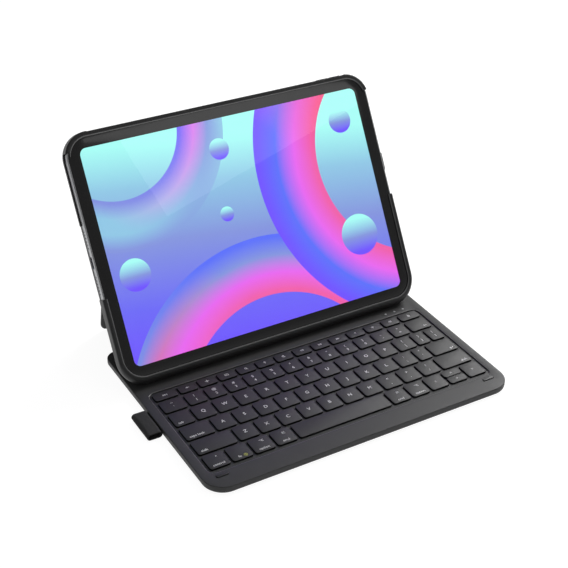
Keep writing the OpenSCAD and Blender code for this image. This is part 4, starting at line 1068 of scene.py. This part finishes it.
def display_picture(tree):
    """A generic wallpaper: a sky from cyan to violet, with broad tube-like rings and a few balls."""
    bsdf = shader(tree)
    uv = tree.nodes.new("ShaderNodeUVMap")
    uv.uv_map = "picture"
    split = tree.nodes.new("ShaderNodeSeparateXYZ")
    tree.links.new(uv.outputs["UV"], split.inputs["Vector"])
    slant = math_node(tree, "MULTIPLY_ADD", split.outputs["X"], 0.12, split.outputs["Y"])
    colour = ramp(tree, slant,
                  [(0.0, INDIGO), (0.25, (0.13, 0.12, 0.92)), (0.55, PERI), (0.8, SKY), (1.0, CYAN)])
    for centre, radius, half, lower, upper in BANDS:
        share = across(tree, uv, centre, radius - half, radius + half)
        turn = math_node(tree, "ADD", split.outputs["X"], split.outputs["Y"])
        turn = math_node(tree, "SUBTRACT", turn, centre[0] + centre[1] - 0.5)
        near, far = [ramp(tree, share, [(0.05 + 0.3 * i, c) for i, c in enumerate(colours)])
                     for colours in (lower, upper)]
        colour = lay_over(tree, colour, blend(tree, turn, near, far), share)
    for centre, radius in BALLS:
        share = across(tree, uv, centre, -radius, radius)
        height = math_node(tree, "SUBTRACT", split.outputs["Y"], centre[1] - radius)
        height = math_node(tree, "DIVIDE", height, 2 * radius)
        colour = lay_over(tree, colour, ramp(tree, height, [(0.1, INDIGO), (0.45, PERI), (0.9, CYAN)]), share)
    bsdf.inputs["Base Color"].default_value = (0.01, 0.01, 0.01, 1)
    bsdf.inputs["Roughness"].default_value = 0.4
    tree.links.new(colour, bsdf.inputs["Emission Color"])
    bsdf.inputs["Emission Strength"].default_value = 1.0


def math_node(tree, operation, *values):
    """A Math node over sockets and plain numbers."""
    node = tree.nodes.new("ShaderNodeMath")
    node.operation = operation
    for socket, value in zip(node.inputs, values):
        if isinstance(value, bpy.types.NodeSocket):
            tree.links.new(value, socket)
        else:
            socket.default_value = value
    return node.outputs[0]


def across(tree, uv, centre, inner, outer):
    """0 at one distance from a centre and 1 at another."""
    distance = tree.nodes.new("ShaderNodeVectorMath")
    distance.operation = "DISTANCE"
    distance.inputs[1].default_value = (*centre, 0)
    tree.links.new(uv.outputs["UV"], distance.inputs[0])
    share = math_node(tree, "SUBTRACT", distance.outputs["Value"], inner)
    return math_node(tree, "DIVIDE", share, outer - inner)


def blend(tree, factor, first, second):
    mix = tree.nodes.new("ShaderNodeMix")
    mix.data_type = "RGBA"
    tree.links.new(factor, mix.inputs["Factor"])
    tree.links.new(first, mix.inputs["A"])
    tree.links.new(second, mix.inputs["B"])
    return mix.outputs["Result"]


def lay_over(tree, below, above, share):
    """The colour above where share is between 0 and 1, and the colour below elsewhere."""
    inside = math_node(tree, "MULTIPLY", math_node(tree, "GREATER_THAN", share, 0.0),
                       math_node(tree, "LESS_THAN", share, 1.0))
    return blend(tree, inside, below, above)


# ---------------------------------------------------------------- stage

# Soft boxes: name, place in metres, width, height and power in watts
LAMPS = [
    ("key_light", (0.75, 0.26, 0.54), 0.45, 0.45, 6.6),
    ("rear_light", (0.9, 0.6, 0.65), 0.5, 0.5, 2.0),
    ("brow_light", (1.0, -1.5, 1.5), 0.7, 0.7, 1.6),
    ("top_light", (0.2, 0.15, 1.6), 0.9, 0.9, 1.5),
]


LAMP_AIM = Vector((0, 0.03, 0.05))
FLOOR_HALF, FLOOR_DROP = 6, 0.2 * MM


def build_stage(s):
    """The floor, the lamps, the surroundings and the camera."""
    bm = bmesh.new()
    bmesh.ops.create_grid(bm, x_segments=1, y_segments=1, size=FLOOR_HALF)
    floor = finish_mesh(bm, "floor", material("floor", floor_paint))
    floor.location.z = -FLOOR_DROP
    for name, place, width, height, power in LAMPS:
        data = bpy.data.lights.new(name, "AREA")
        data.shape = "RECTANGLE"
        data.size = width
        data.size_y = height
        data.energy = power
        lamp = bpy.data.objects.new(name, data)
        lamp.location = place
        lamp.rotation_euler = (LAMP_AIM - Vector(place)).to_track_quat("-Z", "Y").to_euler()
        lamp.visible_camera = False
        bpy.context.scene.collection.objects.link(lamp)
    world = bpy.data.worlds.new("studio")
    bpy.context.scene.world = world
    world.use_nodes = True
    studio_world(world.node_tree)
    data = bpy.data.cameras.new("camera")
    data.lens = s.lens
    data.sensor_width = 36
    camera = bpy.data.objects.new("camera", data)
    camera.matrix_world = camera_matrix(s)
    bpy.context.scene.collection.objects.link(camera)
    bpy.context.scene.camera = camera
    bpy.context.scene.view_settings.view_transform = "Standard"


def camera_matrix(s):
    forward = Vector((math.sin(s.azimuth) * math.cos(s.elevation),
                      math.cos(s.azimuth) * math.cos(s.elevation),
                      -math.sin(s.elevation)))
    side = forward.cross(Vector((0, 0, 1))).normalized()
    up = side.cross(forward)
    right = side * math.cos(s.roll) + up * math.sin(s.roll)
    top = right.cross(forward)
    return Matrix.Translation(s.camera_place) @ Matrix((right, top, -forward)).transposed().to_4x4()


def seen_ray(tree):
    """1 where a camera, glossy or transmitted ray looks, and 0 where the lamps' light is gathered."""
    path = tree.nodes.new("ShaderNodeLightPath")
    seen = math_node(tree, "MAXIMUM", path.outputs["Is Camera Ray"], path.outputs["Is Glossy Ray"])
    return math_node(tree, "MAXIMUM", seen, path.outputs["Is Transmission Ray"])


def floor_paint(tree):
    """A floor that is seen as white with a faint shadow, and lights the object as pale paint does."""
    out = tree.nodes.new("ShaderNodeOutputMaterial")
    paint = tree.nodes.new("ShaderNodeBsdfDiffuse")
    speckle = object_noise(tree, 40, 3)
    tree.links.new(ramp(tree, speckle, [(0.3, (0.78,) * 3), (0.7, (0.82,) * 3)]), paint.inputs["Color"])
    faint = tree.nodes.new("ShaderNodeBsdfDiffuse")
    faint.inputs["Color"].default_value = (0.25, 0.25, 0.25, 1)
    glow = tree.nodes.new("ShaderNodeEmission")
    glow.inputs["Strength"].default_value = 0.93
    seen = tree.nodes.new("ShaderNodeAddShader")
    tree.links.new(faint.outputs[0], seen.inputs[0])
    tree.links.new(glow.outputs[0], seen.inputs[1])
    mix = tree.nodes.new("ShaderNodeMixShader")
    tree.links.new(seen_ray(tree), mix.inputs["Fac"])
    tree.links.new(paint.outputs[0], mix.inputs[1])
    tree.links.new(seen.outputs[0], mix.inputs[2])
    tree.links.new(mix.outputs[0], out.inputs["Surface"])


def studio_world(tree):
    """White where it is seen directly, and a pale wall that darkens upwards for everything else."""
    tree.nodes.clear()
    out = tree.nodes.new("ShaderNodeOutputWorld")
    coords = tree.nodes.new("ShaderNodeTexCoord")
    split = tree.nodes.new("ShaderNodeSeparateXYZ")
    tree.links.new(coords.outputs["Generated"], split.inputs["Vector"])
    wall = tree.nodes.new("ShaderNodeBackground")
    tree.links.new(ramp(tree, split.outputs["Z"],
                        [(0.05, (0.5,) * 3), (0.3, (0.21,) * 3), (1.0, (0.21,) * 3)]),
                   wall.inputs["Color"])
    white = tree.nodes.new("ShaderNodeBackground")
    white.inputs["Color"].default_value = (1, 1, 1, 1)
    path = tree.nodes.new("ShaderNodeLightPath")
    mix = tree.nodes.new("ShaderNodeMixShader")
    tree.links.new(math_node(tree, "MAXIMUM", path.outputs["Is Camera Ray"],
                             path.outputs["Is Transmission Ray"]),
                   mix.inputs["Fac"])
    tree.links.new(wall.outputs[0], mix.inputs[1])
    tree.links.new(white.outputs[0], mix.inputs[2])
    tree.links.new(mix.outputs[0], out.inputs["Surface"])


# ---------------------------------------------------------------- operators

def settings():
    return bpy.context.scene


class CASE_OT_base(bpy.types.Operator):
    """Model the two covers of the keyboard base, its bumpers and its pen loop"""
    bl_idname = "keyboard_case.base"
    bl_label = "Keyboard base"

    def execute(self, context):
        scene = settings()
        build_top_cover(scene.case_settings, scene.key_settings)
        build_bottom_cover(scene.case_settings)
        build_bumpers()
        build_pen_loop()
        return {"FINISHED"}


class CASE_OT_keys(bpy.types.Operator):
    """Model the key caps and print their legends"""
    bl_idname = "keyboard_case.keys"
    bl_label = "Keys"

    def execute(self, context):
        for node in KEY_NODES:
            build_key_node(node, settings().key_settings)
        return {"FINISHED"}


class CASE_OT_shell(bpy.types.Operator):
    """Model the soft frame around the tablet"""
    bl_idname = "keyboard_case.shell"
    bl_label = "Shell"

    def execute(self, context):
        build_shell_frame(settings().shell_settings)
        return {"FINISHED"}


class CASE_OT_tablet(bpy.types.Operator):
    """Model the tablet's glass and its lit display"""
    bl_idname = "keyboard_case.tablet"
    bl_label = "Tablet"

    def execute(self, context):
        build_glass(settings().shell_settings)
        build_display(settings().shell_settings)
        return {"FINISHED"}


class CASE_OT_finishes(bpy.types.Operator):
    """Give every piece that keeps its construction shape its finish"""
    bl_idname = "keyboard_case.finishes"
    bl_label = "Finishes"

    def execute(self, context):
        for node, (name, maker) in CAD_FINISH.items():
            NODES[node].data.materials.clear()
            NODES[node].data.materials.append(material(name, maker))
        return {"FINISHED"}


class CASE_OT_stage(bpy.types.Operator):
    """Set up the floor, the lights and the camera"""
    bl_idname = "keyboard_case.stage"
    bl_label = "Stage"

    def execute(self, context):
        build_stage(settings().stage_settings)
        return {"FINISHED"}


class CASE_PT_panel(bpy.types.Panel):
    """Buttons for each group of pieces"""
    bl_label = "Keyboard case"
    bl_space_type = "VIEW_3D"
    bl_region_type = "UI"
    bl_category = "Keyboard case"

    def draw(self, context):
        for operator in OPERATORS:
            self.layout.operator(operator.bl_idname)


OPERATORS = (CASE_OT_base, CASE_OT_keys, CASE_OT_shell, CASE_OT_tablet, CASE_OT_finishes, CASE_OT_stage)
GROUPS = (CaseSettings, KeySettings, ShellSettings, FinishSettings, StageSettings)


def register():
    for cls in GROUPS + OPERATORS + (CASE_PT_panel,):
        bpy.utils.register_class(cls)
    bpy.types.Scene.case_settings = bpy.props.PointerProperty(type=CaseSettings)
    bpy.types.Scene.key_settings = bpy.props.PointerProperty(type=KeySettings)
    bpy.types.Scene.shell_settings = bpy.props.PointerProperty(type=ShellSettings)
    bpy.types.Scene.finish_settings = bpy.props.PointerProperty(type=FinishSettings)
    bpy.types.Scene.stage_settings = bpy.props.PointerProperty(type=StageSettings)


def unregister():
    del bpy.types.Scene.case_settings
    del bpy.types.Scene.key_settings
    del bpy.types.Scene.shell_settings
    del bpy.types.Scene.finish_settings
    del bpy.types.Scene.stage_settings
    for cls in reversed(GROUPS + OPERATORS + (CASE_PT_panel,)):
        bpy.utils.unregister_class(cls)


def main():
    register()
    bpy.ops.keyboard_case.base()
    bpy.ops.keyboard_case.keys()
    bpy.ops.keyboard_case.shell()
    bpy.ops.keyboard_case.tablet()
    bpy.ops.keyboard_case.finishes()
    bpy.ops.keyboard_case.stage()


if __name__ == "__main__":
    main()
